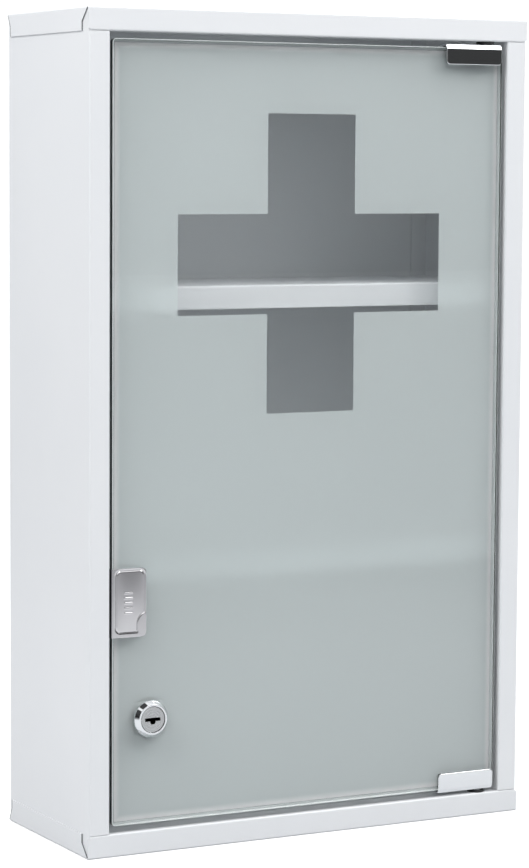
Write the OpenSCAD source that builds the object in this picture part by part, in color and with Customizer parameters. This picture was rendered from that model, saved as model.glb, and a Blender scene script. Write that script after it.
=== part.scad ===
// Lockable medicine cabinet: a folded sheet-steel box with two shelves and a frosted glass door.
// The door turns on two pivot clamps, is held by a magnetic push latch and is locked by a cam lock.
// Frame: X to the right, Y to the back, Z up, origin at the centre of the base.

/* [Cabinet] */
// Width over the flaps of the trays
cab_w = 300; // [240:5:400]
// Depth from the front frame to the back
cab_d = 120; // [110:5:200]
// Height over both trays
cab_h = 500; // [440:10:640]
// Thickness of the sheet steel
sheet = 0.8; // [0.7:0.1:1]
// Outer radius of a fold
fold_r = 1.6; // [1.4:0.1:2]
// Width of the frame round the door opening
frame_w = 14; // [12:1:18]
// Depth of the fold behind the frame
return_d = 15; // [14:1:20]

/* [Shelves] */
// Height of the lower shelf's top
lower_shelf_z = 175; // [170:5:190]
// Height of the upper shelf's top
upper_shelf_z = 337; // [320:1:350]
// Distance of the shelves behind the front
shelf_setback = 18; // [17:1:30]
// Height of a shelf's front lip
shelf_lip = 14; // [10:1:14]
// Height of a shelf's side and rear flanges
shelf_flange = 12; // [8:1:12]

/* [Door] */
// Thickness of the glass
glass_t = 4; // [4:0.5:5]
// Distance of the glass behind the front
recess = 2; // [2:0.5:3]
// Gap at each side of the glass
side_gap = 2.5; // [2.5:0.5:4]
// Gap above and below the glass
end_gap = 4; // [4:0.5:6]
// Width of a pivot clamp
clamp_w = 40; // [36:1:50]
// Height of a pivot clamp
clamp_h = 12.3; // [11:0.1:16]
// Distance of the pivot from the glass edge
pivot_inset = 10.5; // [9:0.5:12]
// Diameter of the pivot pins
pin_d = 4; // [3:0.5:4]

/* [Lock] */
// Distance of the lock from the free edge of the glass
lock_from_edge = 25; // [23:1:30]
// Height of the lock above the lower edge of the glass
lock_from_bottom = 63; // [55:1:70]
// Diameter of the lock's front ring
lock_ring_d = 22.6; // [22:0.2:24]
// Diameter of the plug's face
plug_d = 15.6; // [14:0.2:16]
// Reach of the cam from the lock's axis
cam_reach = 36; // [34:1:37]

/* [Latch] */
// Height of the latch above the base
latch_z = 147; // [140:1:150]
// Height of the strike clip's middle above the base
strike_z = 151.5; // [145:0.5:155]
// Width of the strike clip on the front of the glass
strike_w = 22; // [20:1:26]
// Height of the strike clip
strike_h = 41; // [34:1:44]
// Travel of the latch plunger
plunger_travel = 8; // [5:1:9]

/* [Hidden] */

// Arcs
fold_steps = 4;
round_fn = 48;
// A cut runs this far past the face it opens
past = 1;
// Parts of one node share this much so that they join
lap = 0.2;

// Cabinet planes
front = -cab_d / 2;
back = cab_d / 2;
side_x = cab_w / 2;
wall_x = side_x - sheet;
wall_in = wall_x - sheet;
open_x = side_x - frame_w;
flap_h = frame_w;
flap_front_low = 9.5;
flap_rear_low = 6;
flap_straight = 5.4;
corner_relief = fold_r + 0.4;
rear_flange_w = 12;
rear_flange_y = back - 2.5 * sheet;
wall_end = fold_r;

// Back panel and its wall holes
panel_x = wall_x - fold_r;
panel_y = back - 2 * sheet;
hang_hole_d = 6;
hang_from_side = 50;
hang_from_end = 50;

// Shelves
shelf_x = wall_in - fold_r;
shelf_front = front + shelf_setback;
shelf_back = rear_flange_y - sheet / 2 - 0.6;
ledge_w = 12;
ledge_front = shelf_front + 2;
ledge_back = shelf_back - 1;

// Glass
glass_x = open_x - side_gap;
glass_z0 = frame_w + end_gap;
glass_z1 = cab_h - frame_w - end_gap;
glass_front = front + recess;
glass_back = glass_front + glass_t;
glass_corner_r = 2.5;
pivot_x = glass_x - pivot_inset;
pivot_y = glass_back;

// Pivot clamps
liner_t = 0.5;
clamp_wall = 1.2;
clamp_rear = 2.5;
clamp_x1 = glass_x - 1.5;
clamp_x0 = clamp_x1 - clamp_w;
clamp_front = glass_front - liner_t - clamp_wall;
clamp_back = glass_back + liner_t + clamp_rear;
clamp_corner_r = 2.5;
clamp_edge_r = 1.6;
clamp_end = clamp_wall + liner_t;
grub_d = 4;
grub_l = 3.3;
grub_x = [clamp_x0 + 8, clamp_x0 + 20];
grub_up = 6;
grub_slot = [0.8, 1.2];

// Bushes and pins, measured from the door edge outwards
bush_flange_d = 11;
bush_flange_t = 1.3;
bush_barrel_d = 8;
bush_barrel_l = 3.3;
pin_shoulder_d = 7;
pin_reach = 2;
thrust_play = 0.05;
head_play = 0.3;
run_play = 0.05;

// Strike clip
strike_t = 0.8;
strike_fold_r = 1.2;
strike_liner_t = 0.3;
strike_corner_r = 3;
strike_field_t = 0.8;
strike_margin = 3;
strike_rim = 1.2;
scoop_r = 6;
scoop_up = 5.5;
rib_count = 5;
rib_size = [4.4, 0.25, 1.3];
rib_pitch = 3;
strike_edge = glass_x + strike_liner_t + strike_t;
strike_right = -strike_edge + strike_w + strike_t;

// Latch
latch_size = [14, 38, 14];
latch_setback = 10;
latch_front = front + latch_setback;
latch_axis_x = -open_x + latch_size[0] / 2;
latch_wall = 2;
plunger_d = 9;
plunger_gap = 0.3;
plunger_l = 28;
plunger_front = glass_back + strike_liner_t + strike_t + plunger_gap;
plunger_back = plunger_front + plunger_l;
magnet_d = 7;
magnet_t = 3;
spring_pocket = 12;
spring_d = 5.4;
spring_wire = 0.7;
spring_turns = 7;
spring_ring = 14;
spring_sides = 6;
bracket_h = 28;
bracket_foot = 16;
bracket_gap = 0.4;
bracket_front_y = front + return_d + bracket_gap;
bracket_step_y = latch_front + latch_size[1] + 2;
bracket_end_y = bracket_step_y + bracket_foot;
ear_t = 2.5;
ear_l = 20;
ear_back = 22;
ear_y = latch_front + ear_back;
ear_hole_z = bracket_h / 2 - 3.5;
screw_d = 2.8;
screw_head_d = 5.4;
screw_head_t = 1.6;
screw_l = 5;

// Lock
lock_x = -glass_x + lock_from_edge;
lock_z = glass_z0 + lock_from_bottom;
gasket_t = 0.4;
lock_proud = 4;
lock_front = glass_front - lock_proud;
ring_face = glass_front - gasket_t;
ring_top_d = lock_ring_d - 4.4;
ring_edge_r = 0.8;
barrel_d = 18;
barrel_back = front + 13.5;
glass_hole_d = barrel_d + 1.2;
plug_head_t = 3;
plug_body_d = 12.6;
washer_t = 1;
washer_d = 25;
nut_flat = 24;
nut_t = 4;
cam_t = 2;
cam_y = front + return_d + 0.8;
cam_back = cam_y + cam_t;
cam_hub_d = 16;
cam_arm = 13;
tang = 7;
cam_screw_d = 4;
cam_head_d = 9;
cam_head_t = 2;
cam_screw_l = 5;
key_slot = [10, 2];
key_notch_r = 1.7;
key_notch_drop = 1.4;
key_depth = 11;

PAINT = "white";
STEEL = "silver";
BLACK = "dimgray";

function unit(v) = v / norm(v);
function left_of(v) = [-v[1], v[0]];
function turned(v, a) = [v[0] * cos(a) - v[1] * sin(a), v[0] * sin(a) + v[1] * cos(a)];
function reversed(list) = [for (i = [len(list) - 1:-1:0]) list[i]];

// Arc on one face of a sheet folded at b, where off is the face's distance to the left of the middle
function fold_arc(a, b, c, off, t, r) =
    let (
        u = unit(b - a),
        v = unit(c - b),
        turn = cross(u, v) > 0 ? 1 : -1,
        angle = acos(u * v),
        mid_r = r - t / 2,
        centre = b - u * mid_r * tan(angle / 2) + left_of(u) * turn * mid_r,
        start = -turn * (mid_r - turn * off) * left_of(u)
    )
    [for (i = [0:fold_steps]) centre + turned(start, turn * angle * i / fold_steps)];

// One face of a sheet whose middle follows a path of straight stretches
function face(path, off, t, r) =
    let (last = len(path) - 1)
    [for (i = [0:last]) each
        i == 0 ? [path[0] + left_of(unit(path[1] - path[0])) * off]
        : i == last ? [path[last] + left_of(unit(path[last] - path[last - 1])) * off]
        : fold_arc(path[i - 1], path[i], path[i + 1], off, t, r)];

// Section of a folded sheet
module folded(path, t = sheet, r = fold_r) {
    polygon(concat(face(path, t / 2, t, r), reversed(face(path, -t / 2, t, r))));
}

// Places a section drawn in Y and Z along X
module along_x(x0, x1) {
    translate([x0, 0, 0]) rotate([90, 0, 90]) linear_extrude(x1 - x0) children();
}

// Places a section drawn in X and Z along Y
module along_y(y0, y1) {
    translate([0, y1, 0]) rotate([90, 0, 0]) linear_extrude(y1 - y0) children();
}

// Places a section drawn in X and Y along Z
module along_z(z0, z1) {
    translate([0, 0, z0]) linear_extrude(z1 - z0) children();
}

module block(low, high) {
    translate(low) cube(high - low);
}

module on_left() {
    mirror([1, 0, 0]) children();
}

// Turns a piece made for the lower end of the cabinet to the upper end
module at_top() {
    translate([0, 0, cab_h]) mirror([0, 0, 1]) children();
}

module rounded(low, high, r) {
    size = high - low;
    translate(low + [r, 0]) square([size[0] - 2 * r, size[1]]);
    translate(low + [0, r]) square([size[0], size[1] - 2 * r]);
    for (x = [low[0] + r, high[0] - r], y = [low[1] + r, high[1] - r])
        translate([x, y]) circle(r, $fn = round_fn);
}

module ring(d_out, d_in, y0, y1) {
    along_y(y0, y1) difference() {
        circle(d = d_out, $fn = round_fn);
        circle(d = d_in, $fn = round_fn);
    }
}

// Side wall on the right: frame, fold behind it and rear flange in one sheet
module side() {
    mid = sheet / 2;
    rear = [[wall_x - mid, rear_flange_y], [wall_x - rear_flange_w, rear_flange_y]];
    stile = [
        [open_x + mid, front + return_d], [open_x + mid, front + mid], [wall_x - mid, front + mid]
    ];
    color(PAINT) {
        along_z(frame_w, cab_h - frame_w) folded(concat(stile, rear));
        along_z(wall_end, cab_h - wall_end) folded(concat([[wall_x - mid, front + sheet]], rear));
    }
}

// Flat plate with a fold down each side, drawn with the outer face at z = 0 and the folds upwards
module pan(half_w, y0, y1, side_h) {
    mid = sheet / 2;
    inner_w = half_w - fold_r;
    block([-inner_w, y0 + fold_r, 0], [inner_w, y1 - fold_r, sheet]);
    along_y(y0 + corner_relief, y1 - corner_relief) folded([
        [-half_w + mid, side_h], [-half_w + mid, mid], [half_w - mid, mid], [half_w - mid, side_h]
    ]);
}

// Fold across the front or rear of a pan
module cross_fold(half_w, y0, inward, h) {
    mid = sheet / 2;
    along_x(-half_w, half_w) folded([
        [y0 + inward * (corner_relief + lap), mid], [y0 + inward * mid, mid], [y0 + inward * mid, h]
    ]);
}

// Outline of a side flap, cut away at both ends so that it folds past the frame
module flap_outline() {
    straight = flap_h - flap_straight;
    polygon([
        [front, 0], [front + corner_relief, sheet], [front + flap_front_low, straight],
        [front + flap_front_low, flap_h], [back - flap_rear_low, flap_h],
        [back - flap_rear_low, straight], [back - corner_relief, sheet], [back, 0]
    ]);
}

// Lower tray: floor, front rail with its fold, and flaps over the walls and the back
module tray() {
    mid = sheet / 2;
    rail = [
        [front + corner_relief + lap, mid], [front + mid, mid], [front + mid, frame_w - mid],
        [front + return_d, frame_w - mid]
    ];
    color(PAINT) difference() {
        union() {
            intersection() {
                pan(side_x, front, back, flap_h);
                along_x(-side_x, side_x) flap_outline();
            }
            along_x(-side_x, side_x) folded(rail);
            cross_fold(panel_x, back, -1, flap_h);
        }
        for (x = [-side_x - past, wall_in])
            block([x, front + sheet, frame_w / 2], [x + sheet * 2 + past, front + return_d + past, frame_w + past]);
        translate([pivot_x, pivot_y, frame_w / 2]) cylinder(d = bush_barrel_d, h = frame_w, $fn = round_fn);
    }
}

module back_panel() {
    color(PAINT) along_y(panel_y, panel_y + sheet) difference() {
        translate([-panel_x, wall_end]) square([2 * panel_x, cab_h - 2 * wall_end]);
        for (x = [-1, 1] * (side_x - hang_from_side), z = [hang_from_end, cab_h - hang_from_end])
            translate([x, z]) circle(d = hang_hole_d, $fn = round_fn);
    }
}

// Shelf: a pan turned over, its lip and flanges pointing down
module shelf(top) {
    color(PAINT) translate([0, 0, top]) mirror([0, 0, 1]) {
        pan(shelf_x, shelf_front, shelf_back, shelf_flange);
        cross_fold(shelf_x, shelf_front, 1, shelf_lip);
        cross_fold(shelf_x, shelf_back, -1, shelf_flange);
    }
}

// Angle on the right wall that a shelf's flange stands on
module ledge(top) {
    mid = sheet / 2;
    seat = top - shelf_flange;
    color(PAINT) along_y(ledge_front, ledge_back) folded([
        [wall_in - mid, top], [wall_in - mid, seat - mid], [wall_in - ledge_w, seat - mid]
    ]);
}

module door_glass() {
    color("lightcyan", 0.7) along_y(glass_front, glass_back) difference() {
        rounded([-glass_x, glass_z0], [glass_x, glass_z1], glass_corner_r);
        translate([lock_x, lock_z]) circle(d = glass_hole_d, $fn = round_fn);
    }
}

// Section of a lower clamp, drawn in Y and Z
module clamp_section() {
    low = glass_z0 - clamp_end;
    difference() {
        rounded([clamp_front, low], [clamp_back, low + clamp_h + clamp_edge_r], clamp_edge_r);
        translate([clamp_front - past, low + clamp_h]) square([clamp_back - clamp_front + 2 * past, clamp_h]);
        translate([glass_front - liner_t, glass_z0 - liner_t]) square([glass_t + 2 * liner_t, clamp_h]);
    }
}

module grub_places() {
    for (x = grub_x)
        translate([x, 0, glass_z0 + grub_up]) children();
}

// Lower pivot clamp: a channel over the edge of the glass
module clamp() {
    low = glass_z0 - clamp_end;
    color(STEEL) difference() {
        intersection() {
            along_x(clamp_x0, clamp_x1) clamp_section();
            along_y(clamp_front - past, clamp_back + past)
                rounded([clamp_x0, low - clamp_corner_r], [clamp_x1, low + clamp_h], clamp_corner_r);
        }
        translate([pivot_x, pivot_y, low - past]) cylinder(d = pin_d, h = clamp_end + past, $fn = round_fn);
        grub_places() along_y(glass_back, clamp_back + past) circle(d = grub_d, $fn = round_fn);
    }
}

// Plastic channel between the lower clamp and the glass
module clamp_liner() {
    low = glass_z0 - liner_t;
    high = glass_z0 - clamp_end + clamp_h - liner_t;
    color(BLACK) along_x(clamp_x0 + liner_t, clamp_x1 - liner_t) difference() {
        translate([glass_front - liner_t, low]) square([glass_t + 2 * liner_t, high - low]);
        translate([glass_front, glass_z0]) square([glass_t, high]);
    }
}

// Set screws in the rear of the lower clamp
module clamp_screws() {
    rear = glass_back + liner_t;
    color(STEEL) grub_places() difference() {
        along_y(rear, rear + grub_l) circle(d = grub_d, $fn = round_fn);
        block(
            [-grub_d, rear + grub_l - grub_slot[1], -grub_slot[0] / 2],
            [grub_d, rear + grub_l + past, grub_slot[0] / 2]
        );
    }
}

// Lower pivot pin, fixed in the clamp and turning in the bush
module pivot_pin(play) {
    web_top = glass_z0 - liner_t;
    web_low = glass_z0 - clamp_end;
    bush_face = frame_w + bush_flange_t;
    color(STEEL) translate([pivot_x, pivot_y, 0]) {
        translate([0, 0, frame_w - pin_reach]) cylinder(d = pin_d, h = web_top - frame_w + pin_reach, $fn = round_fn);
        translate([0, 0, bush_face + play])
            cylinder(d = pin_shoulder_d, h = web_low - bush_face - play, $fn = round_fn);
    }
}

// Lower bush, snapped into the fold of the tray
module bush() {
    color(BLACK) translate([pivot_x, pivot_y, 0]) difference() {
        union() {
            translate([0, 0, frame_w]) cylinder(d = bush_flange_d, h = bush_flange_t, $fn = round_fn);
            translate([0, 0, frame_w - bush_barrel_l])
                cylinder(d = bush_barrel_d, h = bush_barrel_l + lap, $fn = round_fn);
        }
        translate([0, 0, frame_w - bush_barrel_l - past])
            cylinder(d = pin_d + 2 * run_play, h = bush_barrel_l + bush_flange_t + 2 * past, $fn = round_fn);
    }
}

// Front outline of the strike clip, in X and Z, square at the folded edge
module strike_outline(left, right, half_h) {
    intersection() {
        rounded([left - strike_corner_r, strike_z - half_h], [right, strike_z + half_h], strike_corner_r);
        translate([left, strike_z - half_h]) square([right - left, 2 * half_h]);
    }
}

// Strike clip: a sheet folded round the edge of the glass, with a raised field to push on
module strike_clip() {
    mid = strike_t / 2;
    reach_in = glass_front - strike_liner_t;
    reach_out = glass_back + strike_liner_t;
    half_h = strike_h / 2;
    color(STEEL) {
        intersection() {
            along_z(strike_z - half_h, strike_z + half_h) folded([
                [strike_right, reach_in - mid], [-strike_edge + mid, reach_in - mid],
                [-strike_edge + mid, reach_out + mid], [strike_right, reach_out + mid]
            ], strike_t, strike_fold_r);
            along_y(front, reach_out + strike_t) strike_outline(-strike_edge, strike_right, half_h);
        }
        strike_field(reach_in - strike_t);
    }
}

// Raised field on the strike clip, hollowed at its lower inner corner, and its ribs
module strike_field(face_y) {
    low = [-strike_edge + strike_margin, strike_z - strike_h / 2 + strike_margin];
    high = [strike_right - strike_rim, strike_z + strike_h / 2 - strike_rim];
    top_y = face_y - strike_field_t;
    along_y(top_y, face_y + lap) difference() {
        rounded(low, high, strike_corner_r);
        translate([high[0] + strike_rim, low[1] + scoop_up]) circle(scoop_r, $fn = round_fn);
        translate([high[0] + strike_rim - scoop_r, low[1] - past]) square([scoop_r, scoop_up + past]);
    }
    for (i = [0:rib_count - 1])
        translate([-strike_edge + strike_w / 2, top_y, strike_z + (i - (rib_count - 1) / 2) * rib_pitch])
            block([-rib_size[0] / 2, -rib_size[1], -rib_size[2] / 2], [rib_size[0] / 2, lap, rib_size[2] / 2]);
}

// Soft lining that grips the glass inside the strike clip
module strike_liner() {
    mid = strike_liner_t / 2;
    x1 = strike_right - strike_corner_r;
    half_h = strike_h / 2 - strike_corner_r;
    color(BLACK) along_z(strike_z - half_h, strike_z + half_h) folded([
        [x1, glass_front - mid], [-glass_x - mid, glass_front - mid],
        [-glass_x - mid, glass_back + mid], [x1, glass_back + mid]
    ], strike_liner_t, strike_fold_r - strike_t);
}

// Stepped bracket that brings the latch from the left wall to the edge of the opening
module latch_bracket() {
    mid = sheet / 2;
    color(PAINT) difference() {
        along_z(latch_z - bracket_h / 2, latch_z + bracket_h / 2) folded([
            [-wall_in + mid, bracket_end_y], [-wall_in + mid, bracket_step_y],
            [-open_x - mid, bracket_step_y], [-open_x - mid, bracket_front_y]
        ]);
        latch_screw_places() rotate([0, 90, 0]) cylinder(d = screw_d, h = screw_l * 2, center = true, $fn = round_fn);
    }
}

module latch_screw_places() {
    for (z = [-1, 1] * ear_hole_z)
        translate([-open_x, ear_y, latch_z + z]) children();
}

module latch_bore(y0, y1, d) {
    translate([latch_axis_x, 0, latch_z]) along_y(y0, y1) circle(d = d, $fn = round_fn);
}

// Latch housing with an ear above and below
module latch_housing() {
    half_z = latch_size[2] / 2;
    latch_back = latch_front + latch_size[1];
    color("gainsboro") difference() {
        union() {
            along_x(-open_x, -open_x + latch_size[0])
                rounded([latch_front, latch_z - half_z], [latch_back, latch_z + half_z], 1);
            along_x(-open_x, -open_x + ear_t)
                rounded(
                    [ear_y - ear_l / 2, latch_z - bracket_h / 2],
                    [ear_y + ear_l / 2, latch_z + bracket_h / 2], 3
                );
        }
        latch_bore(latch_front - past, latch_back - latch_wall, plunger_d + 2 * run_play);
        latch_screw_places() rotate([0, 90, 0]) cylinder(d = screw_d, h = screw_l * 2, center = true, $fn = round_fn);
    }
}

// Plunger with a pocket for the magnet in front and one for the spring behind
module latch_plunger() {
    color("whitesmoke") difference() {
        latch_bore(plunger_front, plunger_back, plunger_d);
        latch_bore(plunger_front - past, plunger_front + magnet_t, magnet_d);
        latch_bore(plunger_back - spring_pocket, plunger_back + past, spring_d + spring_wire + 0.4);
    }
}

module latch_magnet() {
    color(BLACK) latch_bore(plunger_front, plunger_front + magnet_t, magnet_d);
}

// Ring of points round the spring's wire, a turns round the coil and y along it
function wire_ring(turn, y) = [
    for (k = [0:spring_sides - 1])
        let (
            side = 360 * k / spring_sides,
            r = (spring_d + spring_wire * cos(side)) / 2
        )
        [r * cos(360 * turn), y + spring_wire * sin(side) / 2, r * sin(360 * turn)]
];

// Compression spring between the plunger and the closed end of the housing
module latch_spring() {
    y0 = plunger_back - spring_pocket + spring_wire / 2;
    y1 = latch_front + latch_size[1] - latch_wall - spring_wire / 2;
    rings = spring_turns * spring_ring;
    points = [for (i = [0:rings]) each wire_ring(i / spring_ring, y0 + (y1 - y0) * i / rings)];
    sides = [
        for (i = [0:rings - 1], k = [0:spring_sides - 1])
            let (next = (k + 1) % spring_sides, here = i * spring_sides, there = here + spring_sides)
            [here + k, there + k, there + next, here + next]
    ];
    first = [for (k = [0:spring_sides - 1]) k];
    last = [for (k = [spring_sides - 1:-1:0]) rings * spring_sides + k];
    color(STEEL) translate([latch_axis_x, 0, latch_z]) polyhedron(points, concat(sides, [first, last]));
}

// Screws through the ears into the bracket
module latch_screws() {
    color(STEEL) latch_screw_places() rotate([0, 90, 0]) difference() {
        union() {
            translate([0, 0, ear_t]) cylinder(d = screw_head_d, h = screw_head_t, $fn = round_fn);
            translate([0, 0, ear_t - screw_l]) cylinder(d = screw_d, h = screw_l + lap, $fn = round_fn);
        }
        for (a = [0, 90])
            rotate([0, 0, a]) block([-1.6, -0.3, ear_t + 0.6], [1.6, 0.3, ear_t + screw_head_t + past]);
    }
}

module at_lock() {
    translate([lock_x, 0, lock_z]) children();
}

// Lock body: tapered ring in front of the glass and barrel through it
module lock_body() {
    ring_r = lock_ring_d / 2;
    top_r = ring_top_d / 2;
    top = lock_proud;
    foot = gasket_t;
    color(STEEL) at_lock() difference() {
        translate([0, glass_front, 0]) rotate([90, 0, 0]) rotate_extrude($fn = round_fn * 2) polygon([
            [0, glass_front - barrel_back], [barrel_d / 2, glass_front - barrel_back],
            [barrel_d / 2, foot], [ring_r, foot], [ring_r, foot + ring_edge_r],
            [ring_r - ring_edge_r / 2, foot + 1.6 * ring_edge_r], [top_r + ring_edge_r / 2, top - ring_edge_r / 2],
            [top_r, top], [0, top]
        ]);
        along_y(lock_front - past, lock_front + plug_head_t) circle(d = plug_d + 2 * run_play, $fn = round_fn);
        along_y(lock_front, barrel_back + past) circle(d = plug_body_d + 2 * run_play, $fn = round_fn);
    }
}

// Plug that the key turns, with its keyway, its square tang and the hole for the cam screw
module lock_plug() {
    face_y = lock_front + 0.3;
    color("lightgray") at_lock() difference() {
        union() {
            along_y(face_y, lock_front + plug_head_t - run_play) circle(d = plug_d, $fn = round_fn);
            along_y(face_y + lap, cam_y) circle(d = plug_body_d, $fn = round_fn);
            block([-tang / 2, cam_y - lap, -tang / 2], [tang / 2, cam_back, tang / 2]);
        }
        along_y(face_y - past, face_y + key_depth) {
            square(key_slot, center = true);
            translate([0, -key_notch_drop]) circle(key_notch_r, $fn = round_fn);
        }
        along_y(cam_back - cam_screw_l, cam_back + past) circle(d = cam_screw_d, $fn = round_fn);
    }
}

module lock_gasket() {
    color(BLACK) at_lock() ring(lock_ring_d - 0.4, barrel_d, glass_front - gasket_t, glass_front);
}

module lock_washer() {
    color(BLACK) at_lock() ring(washer_d, barrel_d, glass_back, glass_back + washer_t);
}

module lock_nut() {
    nut_y = glass_back + washer_t;
    color(STEEL) at_lock() along_y(nut_y, nut_y + nut_t) difference() {
        circle(d = nut_flat / cos(30), $fn = 6);
        circle(d = barrel_d, $fn = round_fn);
    }
}

// Cam, hanging down while the door is unlocked
module lock_cam() {
    color(STEEL) at_lock() along_y(cam_y, cam_back) difference() {
        union() {
            circle(d = cam_hub_d, $fn = round_fn);
            translate([-cam_arm / 2, cam_arm / 2 - cam_reach]) square([cam_arm, cam_reach - cam_arm / 2]);
            translate([0, cam_arm / 2 - cam_reach]) circle(d = cam_arm, $fn = round_fn);
        }
        square(tang, center = true);
    }
}

module cam_screw() {
    color(STEEL) at_lock() difference() {
        union() {
            along_y(cam_back - cam_screw_l, cam_back + lap) circle(d = cam_screw_d, $fn = round_fn);
            along_y(cam_back, cam_back + cam_head_t) circle(d = cam_head_d, $fn = round_fn);
        }
        for (a = [0, 90])
            rotate([0, a, 0]) block([-2.4, cam_back + 0.8, -0.45], [2.4, cam_back + cam_head_t + past, 0.45]);
    }
}

on_left() side();  // left_side
side();  // right_side
back_panel();
at_top() tray();  // top_tray
tray();  // bottom_tray
shelf(upper_shelf_z);  // upper_shelf
shelf(lower_shelf_z);  // lower_shelf
on_left() ledge(upper_shelf_z);  // ledge_upper_left
ledge(upper_shelf_z);  // ledge_upper_right
on_left() ledge(lower_shelf_z);  // ledge_lower_left
ledge(lower_shelf_z);  // ledge_lower_right
door_glass();
at_top() clamp();  // clamp_top
clamp();  // clamp_bottom
at_top() clamp_liner();  // clamp_liner_top
clamp_liner();  // clamp_liner_bottom
at_top() clamp_screws();  // clamp_screws_top
clamp_screws();  // clamp_screws_bottom
at_top() pivot_pin(head_play);  // pivot_pin_top
pivot_pin(thrust_play);  // pivot_pin_bottom
at_top() bush();  // bush_top
bush();  // bush_bottom
strike_clip();
strike_liner();
latch_bracket();
latch_housing();
latch_plunger();
latch_magnet();
latch_spring();
latch_screws();
lock_body();
lock_plug();
lock_gasket();
lock_washer();
lock_nut();
lock_cam();
cam_screw();
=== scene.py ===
# %% [markdown]
# # A lockable medicine cabinet
# The real cabinet is a box of folded, powder-coated sheet steel with two shelves and a frosted glass door.
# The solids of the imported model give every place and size. This lesson dresses them: each part is drawn
# again with the small radii, gaps and surfaces that light needs, and rides on its solid's body.

# %% The frame comes first
import math
import bmesh
import bpy
import numpy as np
from mathutils import Matrix, Vector


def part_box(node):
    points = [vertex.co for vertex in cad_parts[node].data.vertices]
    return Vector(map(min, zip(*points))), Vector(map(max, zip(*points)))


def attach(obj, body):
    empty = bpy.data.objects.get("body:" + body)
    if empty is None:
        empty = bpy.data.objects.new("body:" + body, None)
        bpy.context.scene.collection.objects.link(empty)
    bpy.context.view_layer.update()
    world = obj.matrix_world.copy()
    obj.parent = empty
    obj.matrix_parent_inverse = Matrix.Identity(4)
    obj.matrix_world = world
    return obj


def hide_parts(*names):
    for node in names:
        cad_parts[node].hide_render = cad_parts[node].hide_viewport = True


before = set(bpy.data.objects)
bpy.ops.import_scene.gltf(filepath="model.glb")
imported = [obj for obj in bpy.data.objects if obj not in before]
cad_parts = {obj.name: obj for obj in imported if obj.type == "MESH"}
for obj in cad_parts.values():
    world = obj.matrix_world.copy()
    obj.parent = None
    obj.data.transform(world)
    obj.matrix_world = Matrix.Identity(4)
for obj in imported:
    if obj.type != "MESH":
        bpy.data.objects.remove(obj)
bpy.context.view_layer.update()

# %% [markdown]
# ## Sizes
# A sheet-metal shop thinks in millimetres, so the lesson does too, and one factor turns them to metres at
# the end. Where a solid says a size, it is read from the solid's box, so that both models always agree.

# %% Millimetres and the planes of the box
MM = 0.001


def box_mm(solid):
    """Lowest and highest corner of a solid's box, in millimetres."""
    low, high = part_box(solid)
    return np.array(low) / MM, np.array(high) / MM


tray_low, tray_high = box_mm("bottom_tray")
FRONT, BACK, SIDE_X, FRAME_W = tray_low[1], tray_high[1], tray_high[0], tray_high[2]
HEIGHT, WALL_X = box_mm("top_tray")[1][2], box_mm("right_side")[1][0]
SHEET = SIDE_X - WALL_X
FOLD_R = SHEET + 0.4       # a tight fold: hardly any radius inside
OPEN_X = SIDE_X - FRAME_W
print(f"box {2 * SIDE_X:.0f} x {BACK - FRONT:.0f} x {HEIGHT:.0f} mm, sheet {SHEET:.1f} mm")

# %% [markdown]
# ## From arrays to a mesh
# Every new part here is a surface with two parameters, worked out on a grid of points as whole arrays. The
# helpers number the grid's cells, join points that share a place, and hand the arrays to Blender. Joining
# closes seams and poles, and a cell that loses a side that way becomes a triangle.

# %% Patches of a surface
def patch(x, y, z, keep=True, paint=0):
    """A grid of points as points (n, 3), kept cells (m, 4) and the material number of each cell."""
    x, y, z = np.broadcast_arrays(x, y, z)
    i = np.arange(x.size).reshape(x.shape)
    cells = np.stack([i[:-1, :-1], i[:-1, 1:], i[1:, 1:], i[1:, :-1]], -1)
    keep, paint = (np.broadcast_to(w, cells.shape[:2]) for w in (keep, paint))
    return np.stack([x.ravel(), y.ravel(), z.ravel()], 1), cells[keep], paint[keep]


def flipped(patches):
    """Patches whose cells face the other way."""
    return [(points, cells[:, ::-1], paint) for points, cells, paint in patches]


def rim_of(w):
    """The values on the rim of a grid, once round."""
    return np.concatenate([w[0], w[1:, -1], w[-1, -2::-1], w[-2:0:-1, 0]])


def band(loops, paint=0):
    """A closed band through loops of shape (loops, 3, points), whose last points join their first."""
    loops = np.concatenate([loops, loops[:, :, :1]], 2)
    return patch(loops[:, 0], loops[:, 1], loops[:, 2], paint=paint)


def joined(patches):
    """Patches as one surface, whose points that lie within 0.1 µm of a shared place are one point."""
    starts = np.cumsum([0] + [len(p[0]) for p in patches[:-1]])
    points = np.concatenate([p[0] for p in patches])
    cells = np.concatenate([p[1] + s for p, s in zip(patches, starts)])
    used, cells = np.unique(cells, return_inverse=True)
    points, cells = points[used], cells.reshape(-1, 4)
    _, first, number = np.unique(np.round(points * 1e4).astype(np.int64), axis=0,
                                 return_index=True, return_inverse=True)
    return points[first], number.reshape(-1)[cells], np.concatenate([p[2] for p in patches])


def outward(points, cells):
    """The cells of a closed surface, turned round where its volume, the sum over the cells of a triple
    product of their corners, comes out below zero."""
    a, b, c, d = (points[cells[:, k]] for k in range(4))
    volume = (np.cross(a, b) * c).sum() + (np.cross(a, c) * d).sum()
    return cells[:, ::-1] if volume < 0 else cells


print("a grid of 3 x 4 points has", len(patch(*np.mgrid[:3, :4], 0)[1]), "cells")


# %% A piece of the object
def dressed(name, mesh, body, solid, finishes):
    """The object of a mesh: smooth, finished, riding on a body and standing for a solid."""
    mesh.polygons.foreach_set("use_smooth", np.ones(len(mesh.polygons), bool))
    for finish in finishes:
        mesh.materials.append(finish)
    mesh.update()
    obj = bpy.data.objects.new(name, mesh)
    bpy.context.scene.collection.objects.link(obj)
    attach(obj, body)
    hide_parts(solid)
    print(f"{name}: {len(mesh.polygons)} faces")
    return obj


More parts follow.
